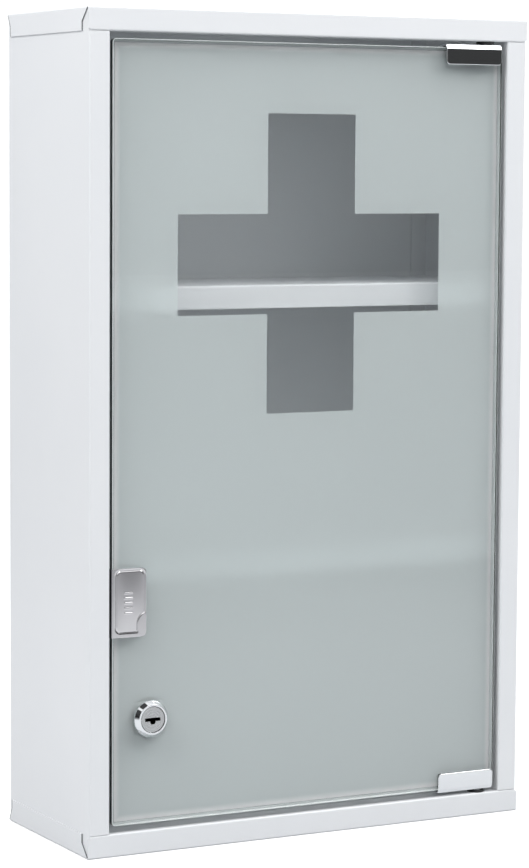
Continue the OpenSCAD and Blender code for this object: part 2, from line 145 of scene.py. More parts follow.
def piece(name, patches, body, slot, solid, *finishes, closed=True):
    """One object from its patches; its slot is not used."""
    points, cells, paint = joined(patches)
    if closed:
        cells = outward(points, cells)
    same = cells == np.roll(cells, -1, axis=1)
    whole, bent = ~same.any(1), same.sum(1) == 1
    mesh = bpy.data.meshes.new(name)
    mesh.from_pydata((points * MM).tolist(), [],
                     cells[whole].tolist() + cells[bent][~same[bent]].reshape(-1, 3).tolist())
    mesh.polygons.foreach_set("material_index",
                              np.concatenate([paint[whole], paint[bent]]).astype(np.int32))
    return dressed(name, mesh, body, solid, finishes)


def modify(obj, kind, **settings):
    """Adds a modifier of that kind with its settings."""
    made = obj.modifiers.new(kind.title(), kind)
    for key, value in settings.items():
        setattr(made, key, value)
    return obj


def flat_lit(obj):
    """Lets the large faces lead the shading, so that they look flat."""
    return modify(obj, "WEIGHTED_NORMAL", weight=80)


def eased(obj, width, sharp=32):
    """Rounds the edges that turn by more than sharp degrees to a radius of about width millimetres, joins
    the points that this brings together, and keeps the flat faces flat in the light."""
    modify(obj, "BEVEL", width=width * MM, segments=2, limit_method="ANGLE",
           angle_limit=math.radians(sharp))
    modify(obj, "WELD", merge_threshold=0.0001 * MM)
    return flat_lit(obj)


def from_sheet(obj, thickness, ease, cut=0):
    """Gives a middle surface its thickness, half to each side, and eases the cut edges. The cut faces take
    the material whose number is higher by cut."""
    modify(obj, "SOLIDIFY", thickness=thickness * MM, offset=0, use_even_offset=True,
           material_offset_rim=cut)
    return eased(obj, ease)


# %% [markdown]
# ## Light, linear colour and nodes
# A finish starts from what the real surface is. Colours are written as sRGB hex values, as a paint card
# gives them, and one function turns them to the linear values that shaders add up. One more function adds
# a node with its settings and its links, so that each finish reads as a short list.

# %% Colour and node helpers
def linear(code):
    """Linear colour of an sRGB hex code: c/12.92 below 0.04045, else ((c + 0.055)/1.055)^2.4."""
    c = np.array([int(code[i:i + 2], 16) for i in (1, 3, 5)]) / 255
    return (*np.where(c <= 0.04045, c / 12.92, ((c + 0.055) / 1.055) ** 2.4).tolist(), 1.0)


def node(tree, kind, inputs=None, **settings):
    """Adds a node. Settings are its properties. Inputs names sockets, each given a value, an output, or a
    node, whose first output in use is meant."""
    made = tree.nodes.new("ShaderNode" + kind)
    for key, value in settings.items():
        setattr(made, key, value)
    for key, value in (inputs or {}).items():
        if isinstance(value, bpy.types.Node):
            value = next(out for out in value.outputs if out.enabled)
        if isinstance(value, bpy.types.NodeSocket):
            tree.links.new(value, made.inputs[key])
        else:
            made.inputs[key].default_value = value
    return made


def new_finish(name):
    """An empty material with its tree and the object's own coordinates, in metres."""
    finish = bpy.data.materials.new(name)
    finish.use_nodes = True
    finish.node_tree.nodes.clear()
    return finish, finish.node_tree, node(finish.node_tree, "TexCoord").outputs["Object"]


def waves_per(size):
    """Noise scale whose features are about size millimetres wide, on coordinates in metres."""
    return 1 / (size * MM)


def grain(tree, place, size, detail, strength, depth=0.1):
    """The grain of a skin, with features of that size, and the relief that it gives, depth mm deep."""
    height = node(tree, "TexNoise", {"Vector": place, "Scale": waves_per(size), "Detail": detail})
    return height, node(tree, "Bump", {"Height": height, "Strength": strength, "Distance": depth * MM})


print("the sRGB grey #808080 is", round(linear("#808080")[0], 3), "in linear light")


# %% [markdown]
# ## White powder coat
# The sheet is sprayed with dry polyester powder that melts into a skin about 0.08 mm thick. It never flows
# quite flat: a shallow orange peel some 2 mm from crest to crest breaks up the gloss. The white is a little
# cool, and it varies so slightly that only a large face shows it. A finish may also carry painted shade: a
# dark grey in zones that a Mapping node turns and scales.

# %% Powder coat
PEEL, CLOUD = 2.4, 90
COLOUR_A, COLOUR_B = 6, 7          # the Mix node's colour sockets


def powder_coat(name, dark, light, shade_colour=None, zones=()):
    """Sprayed and baked powder between two near shades, in clouds, under its orange peel. A dark shade
    colour shows in zones as painted shade, each a middle (y, z), a half size (y, z) and a tilt: in its own
    turned axes |y| and |z| are below 1."""
    finish, tree, place = new_finish(name)
    clouds = node(tree, "TexNoise", {"Vector": place, "Scale": waves_per(CLOUD), "Detail": 3.0})
    peel, skin = grain(tree, place, PEEL, 1.5, 0.10, 0.2)
    white = node(tree, "Mix", {"Factor": clouds, COLOUR_A: linear(dark), COLOUR_B: linear(light)},
                 data_type="RGBA")
    # Painted shade: inside each zone the colour turns to the dark shade colour.
    for (y, z), (half_y, half_z), tilt in zones:
        own = node(tree, "Mapping", {
            "Vector": place, "Location": (0, y * MM, z * MM), "Rotation": (tilt, 0, 0),
            "Scale": (1, half_y * MM, half_z * MM)}, vector_type="TEXTURE")
        axes = node(tree, "SeparateXYZ", {0: node(tree, "VectorMath", {0: own}, operation="ABSOLUTE")})
        most = node(tree, "Math", {0: axes.outputs["Y"], 1: axes.outputs["Z"]}, operation="MAXIMUM")
        shaded = node(tree, "Math", {0: most, 1: 1.0}, operation="LESS_THAN")
        white = node(tree, "Mix", {"Factor": shaded, COLOUR_A: white, COLOUR_B: linear(shade_colour)},
                     data_type="RGBA")
    gloss = node(tree, "MapRange", {"Value": peel, "To Min": 0.34, "To Max": 0.42})
    coat = node(tree, "BsdfPrincipled", {
        "Base Color": white, "Roughness": gloss, "IOR": 1.5, "Normal": skin})
    node(tree, "OutputMaterial", {"Surface": coat})
    return finish


white_powder_coat = powder_coat("white_powder_coat", "#d9dbde", "#e0e1e3")
print("powder coat: peel", PEEL, "mm, clouds", CLOUD, "mm")

# %% [markdown]
# ## Toughened glass, polished and sandblasted
# The door is 4 mm float glass, toughened after its edges were ground and polished. Iron in it gives the
# greenish tint that the edge shows best. The rear face is blasted with fine corundum grit, all but a cross
# in the upper half and a hairline strip along the edge, which the stencil covered. Blasted glass scatters
# light both ways, so it is part rough glass and part matt white. Lamps would reach the inside only as
# caustics, so the light that only casts shadows passes the pane straight, as in any thin flat pane.

# %% Clear and blasted glass
pane_low, pane_high = box_mm("door_glass")
PANE_HALF, PANE_MIDDLE = (pane_high - pane_low) / 2, (pane_high + pane_low) / 2
# Painted light: the blasted face is painted lighter in a band this far inside the rim, in mm.
RIM_LIGHT_BAND = (2.5, 6.5)
GRIT = 0.9           # real pits are 0.06 mm wide, too fine to show, so they are drawn coarser


def glazed(name, base, rough, clear, shadow, strength, painted_rim_light=None):
    """Glass of that roughness and clearness, with shadow as the share and tint of lamp light that it
    passes. A lighter colour of painted light takes over near the rim: at the least distance of |x| and |z|
    from half the pane's size."""
    finish, tree, place = new_finish(name)
    tone = linear(base)
    if painted_rim_light:
        centred = node(tree, "VectorMath", {0: place, 1: (PANE_MIDDLE * MM).tolist()},
                       operation="SUBTRACT")
        away = node(tree, "VectorMath", {0: centred}, operation="ABSOLUTE")
        inward = node(tree, "VectorMath", {0: (PANE_HALF * MM).tolist(), 1: away}, operation="SUBTRACT")
        axes = node(tree, "SeparateXYZ", {0: inward})
        least = node(tree, "Math", {0: axes.outputs["X"], 1: axes.outputs["Z"]}, operation="MINIMUM")
        share = node(tree, "MapRange", {"Value": least, "From Min": RIM_LIGHT_BAND[0] * MM,
                                        "From Max": RIM_LIGHT_BAND[1] * MM}, interpolation_type="SMOOTHSTEP")
        tone = node(tree, "Mix", {"Factor": share, COLOUR_A: linear(painted_rim_light), COLOUR_B: tone},
                    data_type="RGBA")
    glass = node(tree, "BsdfPrincipled", {
        "Base Color": tone, "Roughness": rough, "IOR": 1.52, "Transmission Weight": clear,
        "Normal": grain(tree, place, GRIT, 2.0, strength)[1]})
    lamp = node(tree, "BsdfTransparent", {"Color": linear(shadow)})
    only_lamps = node(tree, "LightPath").outputs["Is Shadow Ray"]
    node(tree, "OutputMaterial", {"Surface": node(tree, "MixShader", {0: only_lamps, 1: glass, 2: lamp})})
    return finish


clear_toughened_glass = glazed("clear_toughened_glass", "#fbfdfd", 0.0, 1.0, "#ffffff", 0.0)
# The blasted glass is painted white near its rim as painted light.
sandblasted_glass = glazed("sandblasted_glass", "#d8e0e0", 0.7, 0.5, "#6a6b6c", 0.05, "#ffffff")
ground_glass_arris = glazed("ground_glass_arris", "#f2f8f7", 0.7, 0.5, "#6a6b6c", 0.1)
print("glass: pane half sizes", PANE_HALF.round(1), "mm, grit drawn", GRIT, "mm wide")

# %% [markdown]
# ## Bright and satin metals
# The pivot clamps and the lock's ring are brass or zinc with polished chrome over nickel, so they mirror
# the room and show only the faintest polishing haze. The strike clip is a stainless strip with a satin face,
# painted dark and dull where it folds: painted shade for the narrow gap the fold faces. The lock's plug is
# turned and then satin chromed: its fine rings lie round the lock's axis. Its keyway is brass, painted dark
# as painted shade in its deep recess. Screws, nut and cam are steel with bright zinc, which is greyer and
# carries a soft blotch from the bath.

# %% Metals
def metal(name, colour, dull, bright, blotch, strength=0.0, stretch=(1, 1, 1)):
    """A metal whose roughness wanders from bright to dull in blotches, stretched along an axis."""
    finish, tree, place = new_finish(name)
    haze, skin = grain(tree, node(tree, "Mapping", {"Vector": place, "Scale": stretch}), blotch, 4.0,
                       strength)
    rough = node(tree, "MapRange", {"Value": haze, "From Min": 0.3, "From Max": 0.7,
                                    "To Min": bright, "To Max": dull})
    plate = node(tree, "BsdfPrincipled", {
        "Base Color": linear(colour), "Metallic": 1.0, "Roughness": rough, "Normal": skin})
    node(tree, "OutputMaterial", {"Surface": plate})
    return finish


polished_chrome = metal("polished_chrome", "#dcdee0", 0.10, 0.02, 1.1)
satin_stainless = metal("satin_stainless", "#c8c7c9", 0.2, 0.1, 0.5, 0.03, (1, 1, 9))
# Painted shade: the clip's fold is painted dark where it faces the narrow gap.
fold_painted_shade = metal("stainless_fold_painted_shade", "#47474b", 0.4, 0.28, 0.8, 0.08)
bright_zinc_plate = metal("bright_zinc_plate", "#b6babd", 0.38, 0.24, 3, 0.05)
# Painted shade: the keyway's walls are painted dark for the shade in its deep recess.
keyway_painted_shade = metal("keyway_brass_painted_shade", "#3a3631", 0.55, 0.4, 1.5, 0.1)
for finish in (polished_chrome, satin_stainless, fold_painted_shade, bright_zinc_plate, keyway_painted_shade):
    print(f"{finish.name}: {len(finish.node_tree.nodes)} nodes")

# %% Turned satin chrome
TOOL_MARK = 0.25     # width of one ring left by the lathe tool
WAVE_TO_NOISE = 20   # the wave texture counts about 20 rings where noise counts one feature
plug_low, plug_high = box_mm("lock_plug")
LOCK_X, LOCK_Z = (plug_low[0] + plug_high[0]) / 2, (plug_low[2] + plug_high[2]) / 2
turned_satin_chrome, tree, place = new_finish("turned_satin_chrome")
centred = node(tree, "Mapping", {"Vector": place, "Location": (-LOCK_X * MM, 0, -LOCK_Z * MM)})
rings = node(tree, "TexWave", {"Vector": centred, "Scale": waves_per(TOOL_MARK) / WAVE_TO_NOISE},
             wave_type="RINGS", rings_direction="Y").outputs["Fac"]
marks = node(tree, "Bump", {"Height": rings, "Strength": 0.12, "Distance": 0.1 * MM})
gleam = node(tree, "MapRange", {"Value": rings, "To Min": 0.22, "To Max": 0.30})
turned_face = node(tree, "BsdfPrincipled", {
    "Base Color": linear("#b4b5b6"), "Metallic": 1.0, "Roughness": gleam, "Normal": marks})
node(tree, "OutputMaterial", {"Surface": turned_face})
print(f"lock axis at x {LOCK_X:.1f}, z {LOCK_Z:.1f} mm")

# %% [markdown]
# ## Plastics, the glass edge and the magnet
# Bushes, liners and the lock's gasket are moulded in black nylon, whose mould was spark-eroded, so the skin
# is finely grained and matt. The latch is pale grey acetal, smoother and a little waxy. Seen along the
# pane, the iron in the glass makes its edge green; it is painted nearly black, as painted shade for the gap
# round the pane. The magnet is pressed and sintered ferrite, ground on its face, which leaves a dark grey
# with parallel scratches.

# %% Moulded and sintered finishes
def moulded(name, colour, lighter, rough, size, strength, stretch=(1, 1, 1)):
    """A plastic or ceramic skin: two near shades and a grain in mottle, gloss and relief."""
    finish, tree, place = new_finish(name)
    eroded, skin = grain(tree, node(tree, "Mapping", {"Vector": place, "Scale": stretch}), size, 3.0,
                         strength)
    tone = node(tree, "Mix", {"Factor": eroded, COLOUR_A: linear(colour), COLOUR_B: linear(lighter)},
                data_type="RGBA")
    sheen = node(tree, "MapRange", {"Value": eroded, "To Min": rough - 0.06, "To Max": rough + 0.06})
    mass = node(tree, "BsdfPrincipled", {
        "Base Color": tone, "Roughness": sheen, "IOR": 1.5, "Normal": skin})
    node(tree, "OutputMaterial", {"Surface": mass})
    return finish


# Partly the iron's green, partly painted shade: the glass edge is drawn near black and opaque.
iron_green_edge_painted_shade = moulded("iron_green_glass_edge_painted_shade", "#0f1817", "#17211f", 0.3, 0.6, 0.1)
black_nylon = moulded("black_moulded_nylon", "#121314", "#1c1d1f", 0.46, 0.35, 0.3)
grey_acetal = moulded("grey_moulded_acetal", "#b4b7ba", "#bfc2c4", 0.40, 0.8, 0.1)
white_acetal = moulded("white_moulded_acetal", "#dddfdf", "#e6e7e7", 0.36, 0.8, 0.1)
ground_ferrite = moulded("ground_ferrite", "#2b2c2e", "#3c3d40", 0.42, 0.4, 0.2, (1, 1, 8))
print("finishes:", len(bpy.data.materials))

# %% [markdown]
# ## Folded sheet
# A sheet part starts as a flat blank. The brake presses it along straight lines, and every fold gets the
# same radius, so the part is still the blank with a new place for each of its points. That is how it is
# drawn here: a grid on the blank, with fine lines where it bends, and a map from the blank to space. The
# Solidify modifier then gives the middle surface its thickness, and a small Bevel stands for the paint
# that rounds a cut edge.

# %% Paths with rounded corners
BEND_STEPS = 8
LEAST_STEP = 0.02          # grid lines that lie closer than this are one line


def round_corners(path, radius, steps=BEND_STEPS):
    """A path whose inner corners are arcs that touch both sides. With unit directions u and v before and
    after a corner b and the turn A between them, the arc of radius R starts R tan(A/2) before b, its
    centre lies R to the side, and its points are centre - side R cos t + u R sin t, for t from 0 to A."""
    path = np.asarray(path, float)
    parts = [path[:1]]
    for a, b, c, r in zip(path[:-2], path[1:-1], path[2:], np.broadcast_to(radius, len(path) - 2)):
        u, v = (b - a) / np.linalg.norm(b - a), (c - b) / np.linalg.norm(c - b)
        angle = np.arccos(np.clip(u @ v, -1, 1))
        side = np.sign(u[0] * v[1] - u[1] * v[0]) * np.array([-u[1], u[0]])
        t = np.linspace(0, angle, steps + 1)[:, None]
        parts.append(b - u * r * np.tan(angle / 2) + side * r * (1 - np.cos(t)) + u * r * np.sin(t))
    return np.concatenate(parts + [path[-1:]])


def fold_line(path, radius):
    """The section of a folded sheet and, for each of its points, its distance s along the blank. The zero
    of s is set so that on the longest stretch s is the coordinate that the stretch runs along."""
    line = round_corners(path, radius)
    steps = np.linalg.norm(np.diff(line, axis=0), axis=1)
    s = np.concatenate([[0], np.cumsum(steps)])
    k = steps.argmax()
    along = np.abs(line[k + 1] - line[k]).argmax()
    return s - s[k] + np.sign(line[k + 1, along] - line[k, along]) * line[k, along], line


def section_at(s, stations, line):
    """Both coordinates of a folded section at the distances s along the blank."""
    return [np.interp(s, stations, w) for w in line.T]


def blank(us, vs, holes=(), keep=None, reach=1.1, sides=32):
    """A flat blank on the lines us and vs, as grids u, v and what to keep of them. Round each hole (u, v,
    radius) a square is left out, and a ring fills it again: at the share k from 0 to 1 it lies at
    square (1 - k) + circle k."""
    edge = np.linspace(-1, 1, sides // 4 + 1)
    for u, v, r in holes:
        us, vs = np.append(us, u + edge * r * reach), np.append(vs, v + edge * r * reach)
    us, vs = np.unique(np.round(us, 5)), np.unique(np.round(vs, 5))
    us, vs = (w[np.append(np.diff(w) > LEAST_STEP, True)] for w in (us, vs))
    u_mid, v_mid = np.meshgrid((us[1:] + us[:-1]) / 2, (vs[1:] + vs[:-1]) / 2)
    kept = np.ones(u_mid.shape, bool) if keep is None else keep(u_mid, v_mid)
    for u, v, r in holes:
        kept &= ~((abs(u_mid - u) < r * reach) & (abs(v_mid - v) < r * reach))
    one = np.ones(len(edge) - 1)
    square = np.stack([np.concatenate([edge[:-1], one, edge[:0:-1], -one, [-1]]),
                       np.concatenate([-one, edge[:-1], one, edge[:0:-1], [-1]])])
    ring = np.stack([square * reach, square / np.linalg.norm(square, axis=0)], 1)
    return [(*np.meshgrid(us, vs), kept)] + [(u + ring[0] * r, v + ring[1] * r, True) for u, v, r in holes]


def sheet_part(solid, patches, *finishes, kind="sheet"):
    """A painted part of folded sheet that stands for a solid. A second finish goes on its cut faces."""
    made = piece(f"{solid}_{kind}", patches, "cabinet", "white_paint", solid, *finishes, closed=False)
    return from_sheet(made, SHEET, EASE, len(finishes) - 1)


print("a bend has", BEND_STEPS, "steps")

# %% [markdown]
# ## Trays and shelves
# Each tray is a pan: a plate with a rail across its front, which folds back once more behind the rail, a
# flap over each side wall and a flap over the back panel. The side flaps are cut at a slant so that they
# clear the rail when they are folded. A shelf is the same pan turned over, with a lip in front and short
# flanges. One map serves both: a point (u, v) of the blank goes to (X(u), Y(v), Za(u) + Zb(v)), where
# (X, Za) is the section from side to side and (Y, Zb) the section from front to rear.

# %% Sizes of the folds
MID = SHEET / 2
BEND_R = FOLD_R - MID
EASE = 0.16                # the paint's radius over a cut edge
NOTCH = (1.8, 2.2)         # where the rail ends and the flaps begin, from the edge of the plate
RETURN_D = 15
CUT_LOW, CUT_REAR, CUT_UPRIGHT = 9.5, 6, 5.4
BUSH_D = 8
pin_low, pin_high = box_mm("pivot_pin_bottom")
HINGE_X, HINGE_Y = (pin_low[:2] + pin_high[:2]) / 2
print(f"hinge axis at x {HINGE_X:.1f}, y {HINGE_Y:.1f} mm")


def pan(half_w, front_path, rear_path, flap_h, cut_front, cut_rear, rear_half_w=None, holes=()):
    """Patches of a pan, its plate at height 0. Both paths run from their free end to the plate. The cuts
    are (heights, set-backs) of the ends of a side flap, and the holes (x, y, radius) lie in the rail's
    fold."""
    su, across = fold_line([(-half_w, flap_h), (-half_w, 0), (half_w, 0), (half_w, flap_h)], BEND_R)
    sv, along = fold_line(front_path + rear_path[::-1], BEND_R)
    y0, y1 = front_path[-1][0], rear_path[-1][0]
    flat_u, bent_u = half_w - BEND_R, su[-1] - flap_h + BEND_R
    rear_half_w = rear_half_w or bent_u
    heights = np.unique(np.concatenate([cut_front[0], cut_rear[0]]))
    rises = heights[(heights > BEND_R) & (heights < flap_h)] - BEND_R
    us = np.concatenate([su, -bent_u - rises, bent_u + rises, [-rear_half_w, rear_half_w]])
    front_end, front_start, rear_start, rear_end = notches = [
        y0 - MID + NOTCH[0], y0 - MID + NOTCH[1], y1 + MID - NOTCH[1], y1 + MID - NOTCH[0]]
    returned = sv[BEND_STEPS + 1] if len(front_path) == 3 else -np.inf
    holes = [(x, sv[0] + along[0, 0] - y, r) for x, y, r in holes]

    def kept(u, v):
        """Where the blank has metal: on the plate, the flaps, the rail and the rear flap."""
        flaps = (np.abs(u) > flat_u) & (v >= front_start) & (v <= rear_start)
        rail = (v < front_end) & (np.abs(u) < np.where(v > returned, bent_u, flat_u))
        rear = (v > rear_end) & (np.abs(u) < rear_half_w)
        return flaps | rail | rear | (np.abs(u) < flat_u) & (v < rear_end) & (v > front_end)

    def folded(u, v):
        """Places of the blank's points. On a side flap the points of a line share out the length between
        the cut ends, each set back by what the cuts say at that height."""
        (x, rise), (y, z) = section_at(u, su, across), section_at(v, sv, along)
        flap = (np.abs(u) > flat_u) & (v > front_end) & (v < rear_end)
        low = y0 - MID + np.interp(rise, *cut_front)
        high = y1 + MID - np.interp(rise, *cut_rear)
        share = (v - front_start) / (rear_start - front_start)
        straight = np.sign(u) * (flat_u + (np.abs(u) - flat_u) * (BEND_R + MID) / (bent_u - flat_u))
        x = np.where(flap | (np.abs(u) <= flat_u), x, straight)
        return x, np.where(flap, low + share * (high - low), y), np.where(flap, rise, z)

    return [patch(*folded(u, v), keep)
            for u, v, keep in blank(us, np.concatenate([sv, notches]), holes, kept)]


def placed(patches, z, up=1):
    """Patches moved to the height z, turned over when up is -1."""
    return [(p * [1, 1, up] + [0, 0, z], cells[:, ::up], paint) for p, cells, paint in patches]


# %% Painted shade at the trays' cut flaps
# Painted shade: near their ends the flaps' cut faces are painted dark grey. At the rear the cut faces away,
# so a painted shade line LINE wide on the face follows the cut, upright first and then along the slant.
LINE = 0.8
cut_ends = [((y0 + y1) / 2, (y1 - y0) / 2) for y0, y1 in ((FRONT + NOTCH[0], FRONT + CUT_LOW + EASE),
                                                          (BACK - CUT_REAR - EASE, BACK - NOTCH[0]))]
painted_shade_on_cut = powder_coat("painted_shade_on_cut_edge", "#d0d2d5", "#d9dbde", "#6a6d70",
                               [((y, 0), (half_y, HEIGHT + 1), 0) for y, half_y in cut_ends])
top_cut, low_cut = (BACK - CUT_REAR, FRAME_W - CUT_UPRIGHT), (BACK - NOTCH[1], FOLD_R)
run, climb = low_cut[0] - top_cut[0], top_cut[1] - low_cut[1]
slant = math.atan2(run, climb)
slant_y = (low_cut[0] + top_cut[0] - LINE * math.cos(slant)) / 2
slant_z = (low_cut[1] + top_cut[1] - LINE * math.sin(slant)) / 2
edge_lines = []
for end, up in ((0, 1), (HEIGHT, -1)):
    edge_lines += [
        ((top_cut[0] - LINE / 2, end + up * (FRAME_W - CUT_UPRIGHT / 2)), (LINE / 2, CUT_UPRIGHT / 2), 0),
        ((slant_y, end + up * slant_z), (LINE / 2, math.hypot(run, climb) / 2), up * slant)]
painted_shade_by_cut = powder_coat("painted_shade_beside_cut", "#d9dbde", "#e0e1e3", "#606366", edge_lines)
print("thin coat in", len(cut_ends) + len(edge_lines), "zones, lines", LINE, "mm wide")

# %% Both trays
rail = [(FRONT + RETURN_D, FRAME_W - SHEET), (FRONT + MID, FRAME_W - SHEET), (FRONT + MID, 0)]
rear_flap = [(BACK - MID, FRAME_W - MID), (BACK - MID, 0)]
FLAP_H = FRAME_W - MID
cut_heights = [BEND_R, FLAP_H - CUT_UPRIGHT, FLAP_H]
tray = pan(SIDE_X - MID, rail, rear_flap, FLAP_H, (cut_heights, [NOTCH[1], CUT_LOW, CUT_LOW]),
           (cut_heights, [NOTCH[1], CUT_REAR, CUT_REAR]), WALL_X - FOLD_R,
           [(HINGE_X, HINGE_Y, BUSH_D / 2)])
# Painted shade: both trays are painted dark on and beside the flaps' cut ends.
for solid, z, up in (("bottom_tray", MID, 1), ("top_tray", HEIGHT - MID, -1)):
    sheet_part(solid, placed(tray, z, up), painted_shade_by_cut, painted_shade_on_cut)

# %% Both shelves
FLANGE_GAP = 2             # how much shorter the flanges are than the lip
for solid in ("upper_shelf", "lower_shelf"):
    low, high = box_mm(solid)
    lip_h = high[2] - low[2] - MID
    flange_h = lip_h - FLANGE_GAP
    square = ([BEND_R, flange_h], [NOTCH[1], NOTCH[1]])
    shelf = pan(high[0] - MID, [(low[1] + MID, lip_h), (low[1] + MID, 0)],
                [(high[1] - MID, flange_h), (high[1] - MID, 0)], flange_h, square, square)
    sheet_part(solid, placed(shelf, high[2] - MID, -1), white_powder_coat)

# %% [markdown]
# ## Side walls, back panel, ledges and the latch bracket
# A side wall is one long strip: the frame round the door opening, a fold behind it that stiffens it, the
# wall and a flange for the back panel. Its section is the same from end to end, only the frame is shorter,
# because the trays' rails close the corners. So the map is simpler: a point (s, z) goes to (X(s), Y(s), z).
# The back panel lies flat on the flanges and has four holes for wall screws, and the ledges that carry the
# shelves are plain angles. The latch bracket steps from the wall to the edge of the opening.

# %% Side walls
SEAM = 0.12                # gap between a rail and the end of the frame below or above it
REAR_FLANGE = 12
wall_low, wall_high = box_mm("right_side")
flange_y = wall_high[1] - MID
ss, section = fold_line([(OPEN_X + MID, FRONT + RETURN_D), (OPEN_X + MID, FRONT + MID),
                         (WALL_X - MID, FRONT + MID), (WALL_X - MID, flange_y),
                         (WALL_X - REAR_FLANGE, flange_y)], BEND_R)
wall_start = ss[2 * BEND_STEPS + 2]
zs = np.array([wall_low[2], FRAME_W + SEAM, HEIGHT - FRAME_W - SEAM, wall_high[2]])
wall_blank = blank(ss, zs, (), lambda u, v: (u > wall_start) | (v > zs[1]) & (v < zs[2]))
wall_patches = [patch(*section_at(u, ss, section), v, keep) for u, v, keep in wall_blank]
for ends in (zs[:2], zs[2:]):        # the wall's short ends, which reach forward behind the rails
    y, z = np.meshgrid([FRONT + SHEET, FRONT + FOLD_R], ends)
    wall_patches.append(patch(WALL_X - MID, y, z))
for solid, side in (("left_side", -1), ("right_side", 1)):
    sheet_part(solid, [(p * [side, 1, 1], cells[:, ::side], paint) for p, cells, paint in wall_patches],
               white_powder_coat)
print(f"the strip is {ss[-1] - ss[0]:.0f} mm wide before it is folded")

# %% Back panel with its wall holes
HANG_X, HANG_Z, HANG_D = 100, 50, 6
low, high = box_mm("back_panel")
hang = [(x, z, HANG_D / 2) for x in (-HANG_X, HANG_X) for z in (HANG_Z, HEIGHT - HANG_Z)]
sheet_part("back_panel", [patch(u, (low[1] + high[1]) / 2, v, keep) for u, v, keep in
                          blank([low[0], high[0]], [low[2], high[2]], hang)], white_powder_coat)

# %% Ledges
for solid in ("ledge_upper_left", "ledge_upper_right", "ledge_lower_left", "ledge_lower_right"):
    low, high = box_mm(solid)
    side = np.sign(low[0] + high[0])
    inner, outer = sorted((abs(low[0]), abs(high[0])))
    line = round_corners([(outer - MID, high[2]), (outer - MID, low[2] + MID), (inner, low[2] + MID)],
                         BEND_R)
    sheet_part(solid, [patch(side * line[:, :1].T, np.array([[low[1]], [high[1]]]), line[:, 1:].T)],
               white_powder_coat, kind="angle")

# %% Latch bracket
STEP_Y, SCREW_D = -10, 2.8
low, high = box_mm("latch_bracket")
screws_low, screws_high = box_mm("latch_screws")
screw_y, screw_head_r = (screws_low[1] + screws_high[1]) / 2, (screws_high[1] - screws_low[1]) / 2
ss, section = fold_line([(low[0] + MID, high[1]), (low[0] + MID, STEP_Y), (high[0] - MID, STEP_Y),
                         (high[0] - MID, low[1])], BEND_R)
holes = [(ss[-1] - (screw_y - low[1]), z, SCREW_D / 2)
         for z in (screws_low[2] + screw_head_r, screws_high[2] - screw_head_r)]
bracket = [patch(*section_at(u, ss, section), v, keep)
           for u, v, keep in blank(ss, [low[2], high[2]], holes)]
sheet_part("latch_bracket", bracket, white_powder_coat)

# %% [markdown]
# ## The glass door
# The pane is a slab with rounded corners, and its edge is ground flat with a narrow bevel, the arris, on
# both sides. Front and rear face share one grid whose lines follow the cross, the strip and the lock's
# hole, so the stencil's edge is as crisp as a cut one. In each corner a square of side r becomes a quarter
# of a disc: a point (a, b) from its inner corner goes to (a sqrt(1 - b²/2r²), b sqrt(1 - a²/2r²)).

# %% Glass pane
CORNER, ARRIS, HEM, STRIP = 2.5, 0.4, 1.875, 2.2
CROSS_Z, ARM_HALF, CROSS_HALF = 350, 30, 90
BODY_WALL = 1.7            # from the hole's edge to the rim of the lock's ring
GROUND, GREEN_SHADED_EDGE = 2, 3
body_low, body_high = box_mm("lock_body")
HOLE_R = (body_high[0] - body_low[0]) / 2 - BODY_WALL
corner_steps = np.append(np.arange(5) / 4 * CORNER, STRIP)
arms = np.array([-CROSS_HALF, -ARM_HALF, ARM_HALF, CROSS_HALF])
lines = [np.concatenate([corner_steps - PANE_HALF[k], PANE_HALF[k] - corner_steps, arms + shift])
         for k, shift in ((0, 0), (2, CROSS_Z - PANE_MIDDLE[2]))]


def pane(u, y, v, inset):
    """Places of the blank's points at the depth y, on a face whose outline is drawn in by inset."""
    r = CORNER - inset
    x, z = (np.clip(w, inset - PANE_HALF[k], PANE_HALF[k] - inset) for w, k in ((u, 0), (v, 2)))
    a, b = (np.maximum(np.abs(w) - (PANE_HALF[k] - CORNER), 0) for w, k in ((x, 0), (z, 2)))
    x = x - np.sign(x) * a * (1 - np.sqrt(1 - b ** 2 / (2 * r ** 2)))
    z = z - np.sign(z) * b * (1 - np.sqrt(1 - a ** 2 / (2 * r ** 2)))
    return np.stack(np.broadcast_arrays(x + PANE_MIDDLE[0], y, z + PANE_MIDDLE[2]))


def stencil(u, v):
    """1 where a cell of the rear face is blasted, 2 on its ground hem, 0 where it stays clear."""
    x, z = ((w[1:, 1:] + w[:-1, 1:] + w[1:, :-1] + w[:-1, :-1]) / 4 for w in (u, v))
    to_edge = np.minimum(PANE_HALF[0] - np.abs(x), PANE_HALF[2] - np.abs(z))
    far, up = np.abs(x), np.abs(z - (CROSS_Z - PANE_MIDDLE[2]))
    cross = (far < ARM_HALF) & (up < CROSS_HALF) | (far < CROSS_HALF) & (up < ARM_HALF)
    return np.where(to_edge < HEM, 2, np.where((to_edge < STRIP) | cross, 0, 1))


